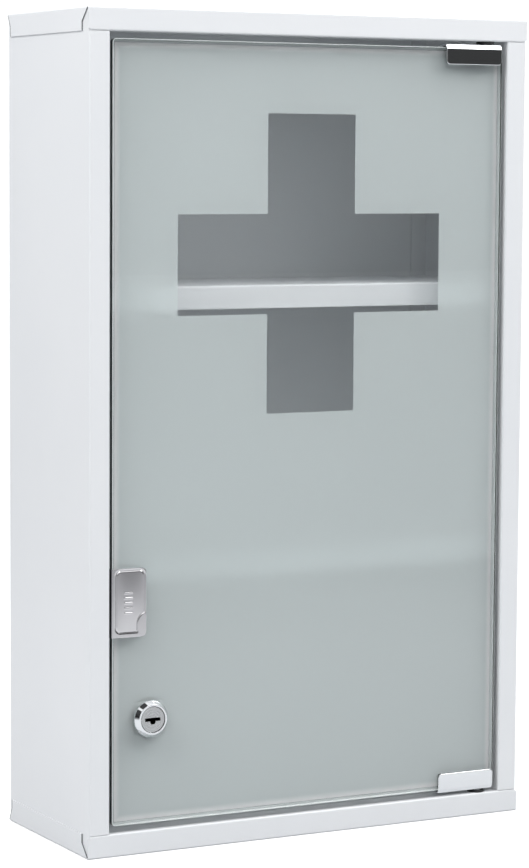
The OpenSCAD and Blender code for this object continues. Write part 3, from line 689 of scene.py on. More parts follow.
front_y, rear_y = pane_low[1], pane_high[1]
grids = blank(*lines, [(LOCK_X - PANE_MIDDLE[0], LOCK_Z - PANE_MIDDLE[2], HOLE_R)])
pane_patches = [patch(*pane(u, front_y, v, ARRIS), keep) for u, v, keep in grids]
pane_patches += flipped([patch(*pane(u, rear_y, v, ARRIS), keep, stencil(u, v)) for u, v, keep in grids])
around = [rim_of(w) for w in grids[0][:2]]
levels = ((ARRIS, front_y), (0, front_y + ARRIS), (0, rear_y - ARRIS), (ARRIS, rear_y))
rim = np.stack([pane(around[0], y, around[1], inset) for inset, y in levels])
pane_patches += flipped([band(rim, np.array([[GROUND], [GREEN_SHADED_EDGE], [GROUND]]))])
hole_u, hole_v = (w[1, :-1] for w in grids[1][:2])
pane_patches.append(band(np.stack([pane(hole_u, y, hole_v, ARRIS) for y in (front_y, rear_y)]), GREEN_SHADED_EDGE))
flat_lit(piece("door_pane", pane_patches, "door", "frosted_glass", "door_glass", clear_toughened_glass,
               sandblasted_glass, ground_glass_arris, iron_green_edge_painted_shade))
print(f"pane {2 * PANE_HALF[0]:.0f} x {2 * PANE_HALF[2]:.0f} x {rear_y - front_y:.0f} mm")

# %% [markdown]
# ## Pivot clamps
# A clamp is a drawn channel that slips over the edge of the glass, with a black liner between, and two set
# screws press from behind. It is a section carried along X, with a slope between front and base. Near both
# ends the legs get shorter along a quarter circle, which rounds the free corners: at a distance d from the
# end they lose r - sqrt(r² - (r - d)²).

# %% Channels over the glass edge
def mitred(loop):
    """For each corner of a closed section, the way inwards that keeps its sides parallel: with unit
    normals m and n of the sides that meet there, (m + n) / (1 + m.n). The sign of the loop's area says
    what is in."""
    side = np.roll(loop, -1, axis=0) - loop
    side /= np.linalg.norm(side, axis=1, keepdims=True)
    area = np.sum(loop[:, 0] * np.roll(loop[:, 1], -1) - np.roll(loop[:, 0], -1) * loop[:, 1])
    after = np.sign(area) * np.stack([-side[:, 1], side[:, 0]], 1)
    before = np.roll(after, 1, axis=0)
    return (before + after) / (1 + (before * after).sum(1, keepdims=True))


def quarter(d, r):
    """What a quarter circle of radius r has yet to lose at the distance d from its end."""
    return r - np.sqrt(r * r - np.clip(r - d, 0, r) ** 2)


def channel(x_ends, outer, inner, tip, slope, bends, ease, r_tip, inner_slope=0.15):
    """A closed channel along X. outer and inner are (front y, rear y, base z), and both legs reach the tip
    z. A slope of (set-back, height) cuts the corner between front and base, inside by the share
    inner_slope, and all free edges have the radius ease."""
    between = (outer[0] + inner[0]) / 2, (outer[1] + inner[1]) / 2
    chains = []
    for (y0, y1, z), share, radii in ((outer, 1, bends[0]), (inner, inner_slope, bends[1])):
        path = [(between[0], tip), (y0, tip), (y0, z + share * slope[1]), (y0 + share * slope[0], z),
                (y1, z), (y1, tip), (between[1], tip)]
        chains.append(round_corners(path, [ease, *radii, ease])[1:-1])
    loop, count = np.concatenate([chains[0], chains[1][::-1]]), len(chains[0])
    t = np.linspace(0, np.pi / 2, 9)
    d = np.unique(np.round(np.concatenate([ease * (1 - np.cos(t[::2])), r_tip * (1 - np.cos(t))]), 6))
    x = np.concatenate([x_ends[0] + d, (x_ends[1] - d)[::-1]])[:, None]
    shrink, loss = (np.concatenate([k, k[::-1]])[:, None] for k in (quarter(d, ease), quarter(d, r_tip)))
    inwards = mitred(loop)
    y = loop[:, 0] + shrink * inwards[:, 0]
    z = loop[:, 1] + shrink * inwards[:, 1] - loss * (loop[:, 1] > (tip + outer[2]) / 2)
    x, y, z = np.broadcast_arrays(x, y, z)
    made = [patch(*(np.concatenate([w, w[:, :1]], 1) for w in (x, y, z)))]
    for row, order in ((0, -1), (-1, 1)):
        ends = np.stack([np.arange(count), np.arange(2 * count - 1, count - 1, -1)][::order])
        made.append(patch(x[row, 0], y[row][ends], z[row][ends]))
    return made


def at_end(patches, end):
    """Patches of a part at the bottom as they are, or for the top mirrored in the middle plane."""
    return patches if end == "bottom" else placed(patches, HEIGHT, -1)


# %% Both clamps and their linings
LINER_IN = 1.2             # the lining ends inside the clamp
clamp_low, clamp_high = box_mm("clamp_bottom")
in_low, in_high = box_mm("clamp_liner_bottom")
clamp = channel((clamp_low[0], clamp_high[0]), (clamp_low[1], clamp_high[1], clamp_low[2]),
                (in_low[1], in_high[1], in_low[2]), clamp_high[2],
                slope=(1.1, 2.6), bends=((0.6, 0.4, 1.6), (0.1, 0.1, 0.1)), ease=0.5, r_tip=2.5)
liner = channel((in_low[0] + LINER_IN, in_high[0] - LINER_IN), (in_low[1], in_high[1], in_low[2]),
                (front_y, rear_y, pane_low[2]), in_high[2],
                slope=(0.2, 0.45), bends=((0.05, 0.05, 0.1), (0.02, 0.02, 0.05)), ease=0.12, r_tip=1.5)
for end in ("bottom", "top"):
    flat_lit(piece(f"pivot_clamp_{end}", at_end(clamp, end), "door", "bright_chrome", f"clamp_{end}",
                   polished_chrome))
    flat_lit(piece(f"clamp_lining_{end}", at_end(liner, end), "door", "black_plastic",
                   f"clamp_liner_{end}", black_nylon))

# %% [markdown]
# ## Turned parts
# Pins, bushes, the lock and its nut are all turned: a profile of radius and height carried round an axis.
# Every corner of a profile is rounded with a radius of its own, since a turned edge is never sharp. A
# radius may also change on the way round, which turns the same idea into a hexagon, a square or a keyhole.

# %% Turning a profile
TURN = np.linspace(0, 2 * np.pi, 97)


def turned(rows, centre, axis, a=TURN, paint=0):
    """A surface from rows of (radius, height), where a radius may be an array over the angles a. A point
    goes to centre + r (cos a, sin a) across + h along."""
    radius = np.stack([np.broadcast_to(r, a.shape) for r, h in rows])
    xyz = [centre[k] + radius * wave for k, wave in zip([k for k in range(3) if k != axis],
                                                        (np.cos(a), np.sin(a)))]
    xyz.insert(axis, np.array([[h] for r, h in rows]))
    return patch(*xyz, paint=paint)


def soft(profile, radii, steps=4):
    """A profile of (radius, height) corners with rounded edges."""
    return round_corners(profile, radii, steps)


def one_over(wave):
    """1 over the size of a wave, kept finite where the wave is nought."""
    return 1 / np.maximum(np.abs(wave), 1e-6)


print("one turn has", len(TURN) - 1, "steps")


# %% Pins and bushes
BORE_R, PIN_R, SHOULDER_R = 2.05, 2, 3.5
hinge = (HINGE_X, HINGE_Y, 0)
bush_low, bush_high = box_mm("bush_bottom")
FLANGE_R = (bush_high[0] - bush_low[0]) / 2
bush = turned(soft([(BORE_R, FRAME_W), (BORE_R, bush_low[2]), (BUSH_D / 2, bush_low[2]),
                    (BUSH_D / 2, FRAME_W), (FLANGE_R, FRAME_W), (FLANGE_R, bush_high[2]),
                    (BORE_R, bush_high[2]), (BORE_R, FRAME_W)],
                   [0.2, 0.5, 0.1, 0.2, 0.45, 0.3]), hinge, 2)
for end, play in (("bottom", 0.05), ("top", 0.3)):
    seat = bush_high[2] + play
    pin = turned(soft([(0, pin_low[2]), (PIN_R, pin_low[2]), (PIN_R, seat), (SHOULDER_R, seat),
                       (SHOULDER_R, clamp_low[2]), (PIN_R, clamp_low[2]), (PIN_R, pin_high[2]),
                       (0, pin_high[2])], [0.5, 0.05, 0.15, 0.15, 0.05, 0.1]), hinge, 2)
    piece(f"hinge_bush_{end}", at_end([bush], end), "cabinet", "black_plastic", f"bush_{end}", black_nylon)
    piece(f"hinge_pin_{end}", at_end([pin], end), "door", "plain_steel", f"pivot_pin_{end}",
          bright_zinc_plate)

# %% [markdown]
# ## Strike clip
# The clip is one strip of stainless steel bent round the free edge of the glass. Its front is embossed: a
# raised, slightly crowned field to push on, with soft shoulders, a fine groove round its foot, a scoop at
# the lower inner corner and five ribs for the finger. Both faces of the folded strip are grids on one
# blank, as the cabinet's sheets are, and the embossing moves the outer face forward by a height h(x, z),
# which is depth times a smooth step of the distance inside the field's outline.

# %% Strike clip
CLIP_T, CLIP_R, CLIP_CORNER, CLIP_EASE = 0.8, 0.8, 3, 0.2
FIELD_UP, FIELD_MARGIN, FIELD_RIM, SHOULDER = 0.8, 3, 1.2, 0.75
SCOOP_R, SCOOP_UP = 6, 5.5
RIB_X, RIB_L, RIB_W, RIB_PITCH, RIB_UP, RIB_COUNT, RIB_SHOULDER = 11, 5.6, 1.4, 3, 0.25, 5, 0.45
CROWN, GROOVE, GROOVE_HALF = 0.3, 0.42, 0.32
FIELD_STEP, RIB_STEP, RIB_REACH = 0.45, 0.2, 3
clip_low, clip_high = box_mm("strike_clip")
lining_low, lining_high = box_mm("strike_liner")
face_y, back_y = lining_low[1] - CLIP_T / 2, clip_high[1] - CLIP_T / 2
clip_z = (clip_low[2] + clip_high[2]) / 2
rib_x, rib_half = clip_low[0] + RIB_X, RIB_COUNT * RIB_PITCH / 2


def smooth_step(x):
    """0 below 0, 1 above 1 and 3x² - 2x³ between."""
    x = np.clip(x, 0, 1)
    return x * x * (3 - 2 * x)


def clip_path(out):
    """Corners of the strip's section on its outer face (out 1), middle (0) or inner face (-1)."""
    shift = out * CLIP_T / 2
    fold_x = clip_low[0] + CLIP_T / 2 - shift
    return [(clip_high[0], face_y - shift), (fold_x, face_y - shift), (fold_x, back_y + shift),
            (clip_high[0], back_y + shift)]


def embossed(x, z):
    """Height of the field and its ribs over the flat of the clip."""
    low = np.array([clip_low[0] + FIELD_MARGIN, clip_low[2] + FIELD_MARGIN])
    high = np.array([clip_high[0] - FIELD_RIM, clip_high[2] - FIELD_RIM])
    (mid_x, mid_z), (half_x, half_z) = (low + high) / 2, (high - low) / 2
    qx, qz = np.abs(x - mid_x) - half_x + CLIP_CORNER, np.abs(z - mid_z) - half_z + CLIP_CORNER
    inside = (CLIP_CORNER - np.hypot(np.maximum(qx, 0), np.maximum(qz, 0))
              - np.minimum(np.maximum(qx, qz), 0))
    off = np.hypot(x - clip_high[0], np.maximum(z - (low[1] + SCOOP_UP), 0)) - SCOOP_R
    within = np.minimum(inside, off)
    crown = CROWN * (1 - ((x - mid_x) / half_x) ** 2) * (1 - ((z - mid_z) / half_z) ** 2)
    field = smooth_step(within / SHOULDER) * (FIELD_UP - RIB_UP - CROWN + crown)
    field = field - GROOVE * np.exp(-(within / GROOVE_HALF) ** 2)
    to_rib = np.abs((z - clip_z + RIB_PITCH / 2) % RIB_PITCH - RIB_PITCH / 2)
    rib = (smooth_step((RIB_L / 2 - np.abs(x - rib_x)) / RIB_SHOULDER)
           * smooth_step((RIB_W / 2 - to_rib) / RIB_SHOULDER))
    return field + RIB_UP * rib * (np.abs(z - clip_z) < rib_half)


def clip_face(u, v, out):
    """The blank's points on the strip's outer face (out 1) or inner face (out -1), folded round the glass,
    with rounded free corners. Only the outer face is embossed."""
    line = round_corners(clip_path(out), CLIP_R + out * CLIP_T / 2)
    x, y = section_at(u, sc, line)
    loss = quarter(np.minimum(v - clip_low[2], clip_high[2] - v), CLIP_CORNER)
    start = clip_low[0] + CLIP_T / 2 + CLIP_R
    x = np.where(x > start, start + (x - start) * (1 - loss / (clip_high[0] - start)), x)
    if out > 0:
        y = y - np.where(y < (face_y + back_y) / 2, embossed(x, v), 0)
    return x, y, v


sc = fold_line(clip_path(0), CLIP_R)[0]
fold_in = -clip_low[0] - CLIP_T / 2 - CLIP_R
u, v, _ = blank(
    np.concatenate([sc, np.arange(sc[0], fold_in, FIELD_STEP),
                    np.arange(-rib_x - RIB_REACH, -rib_x + RIB_REACH, RIB_STEP)]),
    np.concatenate([np.arange(clip_low[2], clip_high[2], FIELD_STEP), [clip_high[2]],
                    np.arange(clip_z - rib_half, clip_z + rib_half, RIB_STEP)]))[0]
between = (u[0, 1:] + u[0, :-1]) / 2
# Painted shade: the cells on the fold take the dark second finish.
on_fold = (between > sc[1 + BEND_STEPS // 2]) & (between < sc[2 + BEND_STEPS + BEND_STEPS // 2])
outer, inner = clip_face(u, v, 1), clip_face(u, v, -1)
rims = np.stack([[rim_of(w) for w in face] for face in (outer, inner)])
clip = [patch(*outer, paint=on_fold.astype(int))] + flipped([patch(*inner), band(rims)])
eased(piece("strike_clip_strip", clip, "door", "bright_chrome", "strike_clip", satin_stainless,
            fold_painted_shade), CLIP_EASE, 65)

# %% Lining of the clip
LINING_T, LINING_R, LINING_EASE = 0.3, 0.2, 0.06
turn_x, near_y = lining_low[:2] + LINING_T / 2
far_y = lining_high[1] - LINING_T / 2
line = round_corners([(lining_high[0], near_y), (turn_x, near_y), (turn_x, far_y),
                      (lining_high[0], far_y)], LINING_R)
lining = [patch(line[:, :1].T, line[:, 1:].T, np.array([[lining_low[2]], [lining_high[2]]]))]
from_sheet(piece("strike_lining", lining, "door", "black_plastic", "strike_liner", black_nylon,
                 closed=False), LINING_T, LINING_EASE)

# %% [markdown]
# ## Cam lock
# The lock is a threaded barrel through the glass with a wide polished ring in front. The plug turns inside
# and carries the cam behind. The body is a turned profile, and its thread is a ridge that winds round it:
# the radius drops by the thread's depth times the distance of (height/pitch - a/2π) from a whole number. On
# the plug the inner rows follow the keyway, which seen from its middle is the farther of a slot and a small
# circle.

# %% Lock body
axis = np.array([LOCK_X, 0, LOCK_Z])
gasket_low, gasket_high = box_mm("lock_gasket")
nut_low, nut_high = box_mm("lock_nut")
RING_R, PLUG_R = (body_high[0] - body_low[0]) / 2, (plug_high[0] - plug_low[0]) / 2
BARREL_R, PLUG_BODY_R = 9, 6.3
RIM_R, RIM_LEAN, RIM_BACK = RING_R - 2.2, 0.25, 1.0      # the ring slopes from its rim to its edge
SINK, GAP = 3, 0.2
THREAD_PITCH, THREAD_DEPTH, LEAD_IN = 1.0, 0.5, 0.3
ring_y, barrel_y, seat_y = body_low[1], body_high[1], gasket_low[1]
front = soft([(PLUG_BODY_R + GAP, barrel_y), (PLUG_BODY_R + GAP, ring_y + SINK),
              (PLUG_R + GAP, ring_y + SINK), (PLUG_R + GAP, ring_y), (RIM_R, ring_y),
              (RING_R - RIM_LEAN, seat_y - RIM_BACK), (RING_R, seat_y), (BARREL_R, seat_y),
              (BARREL_R, nut_low[1])], [0.05, 0.1, 0.16, 0.35, 0.7, 0.15, 0.1])
thread_y = np.arange(nut_low[1], barrel_y - LEAD_IN, THREAD_PITCH / 8)[:, None]
wind = (thread_y - nut_low[1]) / THREAD_PITCH - TURN / (2 * np.pi)
fade = (smooth_step((thread_y - nut_low[1]) / THREAD_PITCH)
        * smooth_step((barrel_y - LEAD_IN - thread_y) / THREAD_PITCH))
thread_r = BARREL_R - THREAD_DEPTH * fade * np.abs(wind - np.round(wind)) * 2
rows = [*front, *zip(thread_r, thread_y[:, 0]), (BARREL_R - LEAD_IN, barrel_y),
        (PLUG_BODY_R + GAP, barrel_y)]
piece("lock_housing", [turned(rows, axis, 1)], "door", "bright_chrome", "lock_body", polished_chrome)

# %% Plug with its keyway
SLOT_HALF, NOTCH_R, NOTCH_DROP, KEY_DEEP, TANG_HALF = (5, 1), 1.7, 1.4, 11, 3.5
CAM_END = 2                # length of the square end that carries the cam
KEY_EDGE, FACE_EDGE, END_EDGE, PLAY = 0.15, 0.25, 0.2, 0.05
corner = math.atan2(SLOT_HALF[1], SLOT_HALF[0])
key_turn = np.unique(np.concatenate([TURN, [corner, np.pi + corner, np.pi - corner,
                                            2 * np.pi - corner]]))
to_x, to_z = one_over(np.cos(key_turn)), one_over(np.sin(key_turn))
drop = -NOTCH_DROP * np.sin(key_turn)
keyway = np.maximum(np.minimum(SLOT_HALF[0] * to_x, SLOT_HALF[1] * to_z),
                    drop + np.sqrt(drop ** 2 - NOTCH_DROP ** 2 + NOTCH_R ** 2))
tang = TANG_HALF * np.minimum(to_x, to_z)
face, cam_y = plug_low[1], plug_high[1] - CAM_END
head_y, bottom = ring_y + SINK - PLAY, face + KEY_DEEP
rows = [(0, bottom), (keyway, bottom), (keyway, face + KEY_EDGE), (keyway + KEY_EDGE, face),
        (PLUG_R - FACE_EDGE, face), (PLUG_R, face + FACE_EDGE), (PLUG_R, head_y), (PLUG_BODY_R, head_y),
        (PLUG_BODY_R, cam_y - END_EDGE), (PLUG_BODY_R - END_EDGE, cam_y), (tang, cam_y),
        (tang, plug_high[1]), (0, plug_high[1])]
# Painted shade: the keyway's rows take the dark second finish.
in_keyway = (np.arange(len(rows) - 1) < 2).astype(int)[:, None]
eased(piece("lock_barrel_plug", [turned(rows, axis, 1, key_turn, in_keyway)], "lock_core", "satin_chrome",
            "lock_plug", turned_satin_chrome, keyway_painted_shade), 0.08)

# %% Gasket, washer and nut
# Both rings are turned profiles. The washer is bevelled towards the glass, so that only a narrow land
# touches it, and the land stays a hair off, so that no two faces share a plane.
HAIR, LAND_R, GASKET_R, BEVEL_H = 0.03, 10.4, RING_R - 1.2, 0.3
washer_low, washer_high = box_mm("lock_washer")
washer_r, land_y = (washer_high[0] - washer_low[0]) / 2, washer_low[1] + HAIR
gasket_mid, land_mid = (GASKET_R + BARREL_R) / 2, (LAND_R + BARREL_R) / 2
gasket = soft([(gasket_mid, gasket_low[1]), (BARREL_R, gasket_low[1]), (BARREL_R, gasket_high[1]),
               (GASKET_R, gasket_high[1]), (GASKET_R, gasket_low[1]), (gasket_mid, gasket_low[1])], 0.12)
washer = soft([(land_mid, land_y), (BARREL_R, land_y), (BARREL_R, washer_high[1]),
               (washer_r, washer_high[1]), (washer_r, washer_high[1] - BEVEL_H), (LAND_R, land_y),
               (land_mid, land_y)], [0.2, 0.2, 0.1, 0.1, 0.2])
for solid, rows in (("lock_gasket", gasket), ("lock_washer", washer)):
    piece(f"{solid}_ring", [turned(rows, axis, 1)], "door", "black_plastic", solid, black_nylon)
NUT_HALF = (nut_high[2] - nut_low[2]) / 2
NUT_EDGE, POINT_EDGE = 0.5, 1.2       # chamfers at the nut's flats and at its points
FACE_R, POINT_R = NUT_HALF - 0.4, NUT_HALF + 1.9
hex_turn = np.linspace(0, 2 * np.pi, 145)
hexagon = NUT_HALF / np.cos(hex_turn % (np.pi / 3) - np.pi / 6)
flats, points = np.minimum(hexagon, NUT_HALF + NUT_EDGE), np.minimum(hexagon, POINT_R)
rows = [(BARREL_R, nut_low[1] + NUT_EDGE), (BARREL_R + NUT_EDGE, nut_low[1]), (FACE_R, nut_low[1]),
        (flats, nut_low[1] + NUT_EDGE), (points, nut_low[1] + POINT_EDGE),
        (points, nut_high[1] - POINT_EDGE), (flats, nut_high[1] - NUT_EDGE), (FACE_R, nut_high[1]),
        (BARREL_R + NUT_EDGE, nut_high[1]), (BARREL_R, nut_high[1] - NUT_EDGE),
        (BARREL_R, nut_low[1] + NUT_EDGE)]
eased(piece("lock_hex_nut", [turned(rows, axis, 1, hex_turn)], "door", "plain_steel", "lock_nut",
            bright_zinc_plate), 0.12)

# %% Cam
# A ray from the hub leaves the arm through its side, or through its round end, which is R wide and L away:
# there r = L sin + sqrt((L sin)² - L² + R²), taken downwards. The hub's circle wins wherever it is larger.
HUB_R, ARM_R, ARM_L = 8, 6.5, 29.5
cam_turn = np.unique(np.concatenate([TURN, np.linspace(-1, 1, 41) * 0.25 + 1.5 * np.pi]))
down, to_side = np.maximum(-np.sin(cam_turn), 0), one_over(np.cos(cam_turn))
reach = (ARM_L * down) ** 2 - ARM_L ** 2 + ARM_R ** 2
arm = np.where(reach >= 0, ARM_L * down + np.sqrt(np.maximum(reach, 0)), ARM_R * to_side)
cam_r = np.maximum(HUB_R, np.where(down > 0, arm, 0))
tang = TANG_HALF * np.minimum(to_side, one_over(np.sin(cam_turn)))
(_, cam_low, _), (_, cam_high, _) = box_mm("lock_cam")
rows = [(tang, cam_low), (cam_r, cam_low), (cam_r, cam_high), (tang, cam_high), (tang, cam_low)]
eased(piece("lock_cam_arm", [turned(rows, axis, 1, cam_turn)], "lock_core", "plain_steel", "lock_cam",
            bright_zinc_plate), 0.25)

# %% [markdown]
# ## Push latch
# Behind the strike clip sits a latch of two acetal mouldings: a housing with two ears and a plunger with a
# magnet in its nose. The housing is again a turned profile, but round a rounded square instead of a circle.
# The small screws are right as solids, so a copy of each is joined up and gets eased edges.

# %% Latch housing
def rounded_box(a, half_a, half_b, r):
    """Radius at the angle a of a rectangle with rounded corners: a straight side, or in a corner the arc
    e·c + sqrt((e·c)² - |c|² + r²), where e is the direction and c the middle of the arc."""
    c, s = np.maximum(abs(np.cos(a)), 1e-6), np.maximum(abs(np.sin(a)), 1e-6)
    side = np.minimum(half_a / c, half_b / s)
    ec = (half_a - r) * c + (half_b - r) * s
    arc = ec + np.sqrt(np.maximum(ec ** 2 - (half_a - r) ** 2 - (half_b - r) ** 2 + r ** 2, 0))
    return np.where((side * c > half_a - r) & (side * s > half_b - r), arc, side)


house_low, house_high = box_mm("latch_housing")
plunge_low, plunge_high = box_mm("latch_plunger")
latch = (plunge_low + plunge_high) / 2
HOUSE_HALF, EAR_T, EAR_L = (house_high[0] - house_low[0]) / 2, 2.5, 20
HOUSE_R, EAR_R, LATCH_BORE, LEAD, FLOOR_T = 1.4, 3, 4.55, 0.6, 2
ROUND, MITRE = 0.8, 0.24           # the moulding's rounded edge, drawn as two chamfers
square = rounded_box(TURN, HOUSE_HALF, HOUSE_HALF, HOUSE_R)
rows = [(0, house_high[1]), (square - ROUND, house_high[1]), (square - MITRE, house_high[1] - MITRE),
        (square, house_high[1] - ROUND), (square, house_low[1] + ROUND),
        (square - MITRE, house_low[1] + MITRE), (square - ROUND, house_low[1]),
        (LATCH_BORE + LEAD, house_low[1]), (LATCH_BORE, house_low[1] + LEAD),
        (LATCH_BORE, house_high[1] - FLOOR_T), (0, house_high[1] - FLOOR_T)]
ear = rounded_box(TURN, EAR_L / 2, (house_high[2] - house_low[2]) / 2, EAR_R)
ear_rows = [(0, house_low[0]), (ear, house_low[0]), (ear, house_low[0] + EAR_T), (0, house_low[0] + EAR_T)]
both = [turned(rows, latch, 1), turned(ear_rows, (0, screw_y, latch[2]), 0)]
eased(piece("latch_case", [(p, outward(p, cells), paint) for p, cells, paint in both], "cabinet",
            "grey_plastic", "latch_housing", grey_acetal), 0.2)

# %% Plunger, magnet and spring
SOCKET_R, SOCKET_DEEP = 3.2, 12
magnet_low, magnet_high = box_mm("latch_magnet")
plunger_r, magnet_r = (plunge_high[0] - plunge_low[0]) / 2, (magnet_high[0] - magnet_low[0]) / 2
rows = soft([(0, magnet_high[1]), (magnet_r, magnet_high[1]), (magnet_r, plunge_low[1]),
             (plunger_r, plunge_low[1]), (plunger_r, plunge_high[1]), (SOCKET_R, plunge_high[1]),
             (SOCKET_R, plunge_high[1] - SOCKET_DEEP), (0, plunge_high[1] - SOCKET_DEEP)],
            [0.05, 0.3, 0.5, 0.4, 0.2, 0.2])
piece("latch_plunger_nose", [turned(rows, latch, 1)], "plunger", "grey_plastic", "latch_plunger",
      white_acetal)
rows = soft([(0, magnet_high[1]), (magnet_r - 0.05, magnet_high[1]), (magnet_r - 0.05, magnet_low[1]),
             (0, magnet_low[1])], [0.2, 0.3])
piece("latch_magnet_disc", [turned(rows, latch, 1)], "plunger", "ferrite", "latch_magnet", ground_ferrite)
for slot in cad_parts["latch_spring"].material_slots:
    slot.material = bright_zinc_plate

# %% Screws
for name, solid, body in (("set_screws_top", "clamp_screws_top", "door"),
                          ("set_screws_bottom", "clamp_screws_bottom", "door"),
                          ("latch_fixing_screws", "latch_screws", "cabinet"),
                          ("cam_fixing_screw", "cam_screw", "lock_core")):
    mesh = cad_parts[solid].data.copy()
    mesh.name = name
    whole = bmesh.new()
    whole.from_mesh(mesh)
    bmesh.ops.remove_doubles(whole, verts=whole.verts, dist=0.001 * MM)
    bmesh.ops.dissolve_limit(whole, angle_limit=math.radians(0.5), verts=whole.verts, edges=whole.edges)
    whole.to_mesh(mesh)
    whole.free()
    mesh.materials.clear()
    eased(dressed(name, mesh, body, solid, [bright_zinc_plate]), 0.12)

# %% [markdown]
# ## Floor, light and camera
# A product like this is lit with large soft sources, so that white paint stays white and keeps its shape by
# small steps of grey. Chrome shows whatever stands round it, so the room matters as much as the lamps: it
# is dark near the horizon in front and to the right, and in three small places above and at the left. The
# floor is plain. It and the room are whiter in sight, straight or through glass, than to the light that
# bounces about, because that much bounced light would wash the door out.

# %% Floor
FLOOR, WHITER = 8, 0.13     # half its side in metres, and its glow in sight


def in_sight(tree, ray):
    """One for a ray that comes from the camera straight or only through glass, and nought for one that a
    surface has scattered or mirrored on its way."""
    turns = node(tree, "Math", {0: ray.outputs["Diffuse Depth"], 1: ray.outputs["Glossy Depth"]})
    first = node(tree, "Math", {0: turns, 1: 0.5}, operation="LESS_THAN")
    through = node(tree, "Math", {0: ray.outputs["Is Transmission Ray"], 1: first}, operation="MULTIPLY")
    return node(tree, "Math", {0: ray.outputs["Is Camera Ray"], 1: through}, operation="MAXIMUM")


pale_floor, tree, place = new_finish("pale_studio_floor")
tone = node(tree, "TexNoise", {"Vector": place, "Scale": 2.0, "Detail": 2.0})
pale = node(tree, "Mix", {"Factor": tone, COLOUR_A: linear("#fbfbfb"), COLOUR_B: linear("#ffffff")},
            data_type="RGBA")
away = node(tree, "VectorMath", {0: place}, operation="LENGTH")
far = node(tree, "MapRange", {"Value": away, "From Min": 0.7, "From Max": 1.4},
           interpolation_type="SMOOTHSTEP")
mirrored = node(tree, "Mix", {"Factor": far, COLOUR_A: linear("#d8d9db"), COLOUR_B: linear("#8f9092")},
                data_type="RGBA")
ray = node(tree, "LightPath")
bounced = node(tree, "Mix", {"Factor": ray.outputs["Is Diffuse Ray"], COLOUR_A: mirrored,
                             COLOUR_B: linear("#c4c6c8")}, data_type="RGBA")
seen = in_sight(tree, ray)
shown = node(tree, "Mix", {"Factor": seen, COLOUR_A: bounced, COLOUR_B: pale}, data_type="RGBA")
lift = node(tree, "Math", {0: seen, 1: WHITER}, operation="MULTIPLY")
surface = node(tree, "BsdfPrincipled", {"Base Color": shown, "Roughness": 0.7,
                                        "Emission Color": (1, 1, 1, 1), "Emission Strength": lift})
node(tree, "OutputMaterial", {"Surface": surface})
mesh = bpy.data.meshes.new("floor")
mesh.from_pydata([(-FLOOR, -FLOOR, 0), (FLOOR, -FLOOR, 0), (FLOOR, FLOOR, 0), (-FLOOR, FLOOR, 0)], [],
                 [(0, 1, 2, 3)])
mesh.materials.append(pale_floor)
ground = bpy.data.objects.new("floor", mesh)
bpy.context.scene.collection.objects.link(ground)
print("floor:", 2 * FLOOR, "m square")

# %% Room
# Each dark place is a direction, the cosines from it at which it starts and is full, and what light it
# leaves.
DARK = (((0.53, -0.85, 0.06), 0.86, 0.97, 0.18), ((-0.33, -0.17, 0.93), 0.955, 0.965, 0.06),
        ((0.74, 0.21, 0.64), 0.97, 0.98, 0.06), ((-0.90, -0.20, 0.38), 0.93, 0.95, 0.06))
scene = bpy.context.scene
scene.view_settings.view_transform = "Standard"
room = bpy.data.worlds.new("studio")
scene.world = room
room.use_nodes = True
tree = room.node_tree
tree.nodes.clear()
look = node(tree, "TexCoord").outputs["Generated"]
rise = node(tree, "SeparateXYZ", {0: look}).outputs["Z"]
light = node(tree, "MapRange", {"Value": rise, "From Min": 0.0, "From Max": 0.5, "To Min": 0.30,
                                "To Max": 1.2}, interpolation_type="SMOOTHSTEP")
for toward, start, full, least in DARK:
    facing = node(tree, "VectorMath", {0: look, 1: toward}, operation="DOT_PRODUCT")
    shade = node(tree, "MapRange", {"Value": facing, "From Min": start, "From Max": full, "To Min": 1.0,
                                    "To Max": least}, interpolation_type="SMOOTHSTEP")
    light = node(tree, "Math", {0: light, 1: shade}, operation="MULTIPLY")
seen = in_sight(tree, node(tree, "LightPath"))
strength = node(tree, "Mix", {"Factor": seen, 2: light, 3: 1.1})
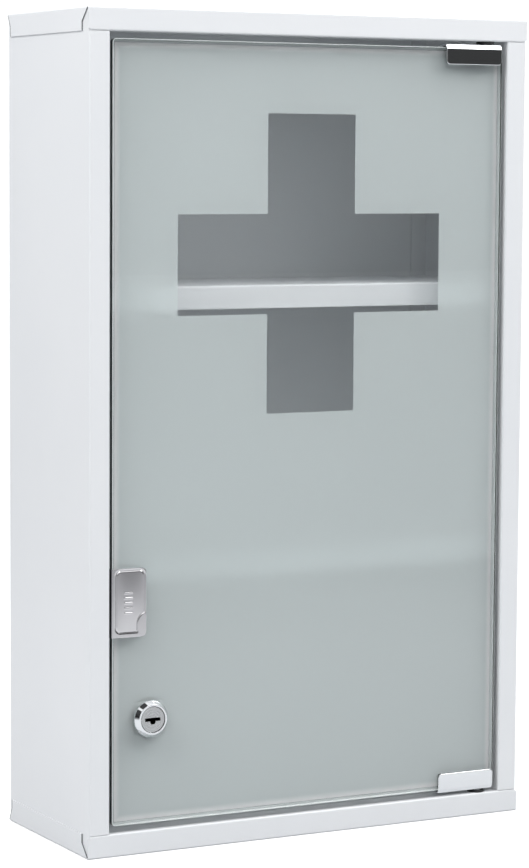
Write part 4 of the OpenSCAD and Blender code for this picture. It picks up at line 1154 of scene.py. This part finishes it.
sky = node(tree, "Background", {"Color": linear("#fdfeff"), "Strength": strength})
node(tree, "OutputWorld", {"Surface": sky})
print("room with", len(DARK), "dark places")

# %% Lamps
TARGET = Vector((0, 0, HEIGHT / 2 * MM))


def softbox(name, place, width, height, power, in_chrome=True):
    """A rectangular area light at a place, turned to the middle of the cabinet. One that isn't shown in
    chrome lights the paint but leaves no patch of white in the metal."""
    data = bpy.data.lights.new(name, "AREA")
    data.shape, data.size, data.size_y, data.energy = "RECTANGLE", width, height, power
    lamp = bpy.data.objects.new(name, data)
    lamp.location = place
    lamp.rotation_euler = (TARGET - Vector(place)).to_track_quat("-Z", "Y").to_euler()
    lamp.visible_glossy = in_chrome
    scene.collection.objects.link(lamp)
    print(f"{name}: {power} W, {width} x {height} m")


softbox("overhead", (0.25, -0.6, 1.2), 1.2, 0.6, 4)
softbox("left_front", (-1.05, -0.25, 1.35), 0.8, 0.8, 13, False)
softbox("right_front", (1.3, -1.0, 1.6), 1.0, 1.0, 11.5)

# %% Camera
FOCAL_PX, FRAME_PX = 2925.03, (529, 868)
YAW, PITCH, ROLL = (math.radians(a) for a in (28.110, 5.330, 0.341))
CAMERA_AT = (-858.28, -1603.71, 411.53)
ahead = Vector((math.sin(YAW) * math.cos(PITCH), math.cos(YAW) * math.cos(PITCH), -math.sin(PITCH)))
right = Vector((math.cos(YAW), -math.sin(YAW), 0))
up = right.cross(ahead)
right, up = right * math.cos(ROLL) + up * math.sin(ROLL), up * math.cos(ROLL) - right * math.sin(ROLL)
view = bpy.data.cameras.new("camera")
view.sensor_fit = "VERTICAL"
view.angle = 2 * math.atan(FRAME_PX[1] / 2 / FOCAL_PX)
camera = bpy.data.objects.new("camera", view)
turned_to = Matrix((right, up, -ahead)).transposed().to_4x4()
camera.matrix_world = Matrix.Translation(Vector(CAMERA_AT) * MM) @ turned_to
scene.collection.objects.link(camera)
scene.camera = camera
print(f"camera: {math.degrees(view.angle):.2f} degrees high, {Vector(CAMERA_AT).length:.0f} mm away")
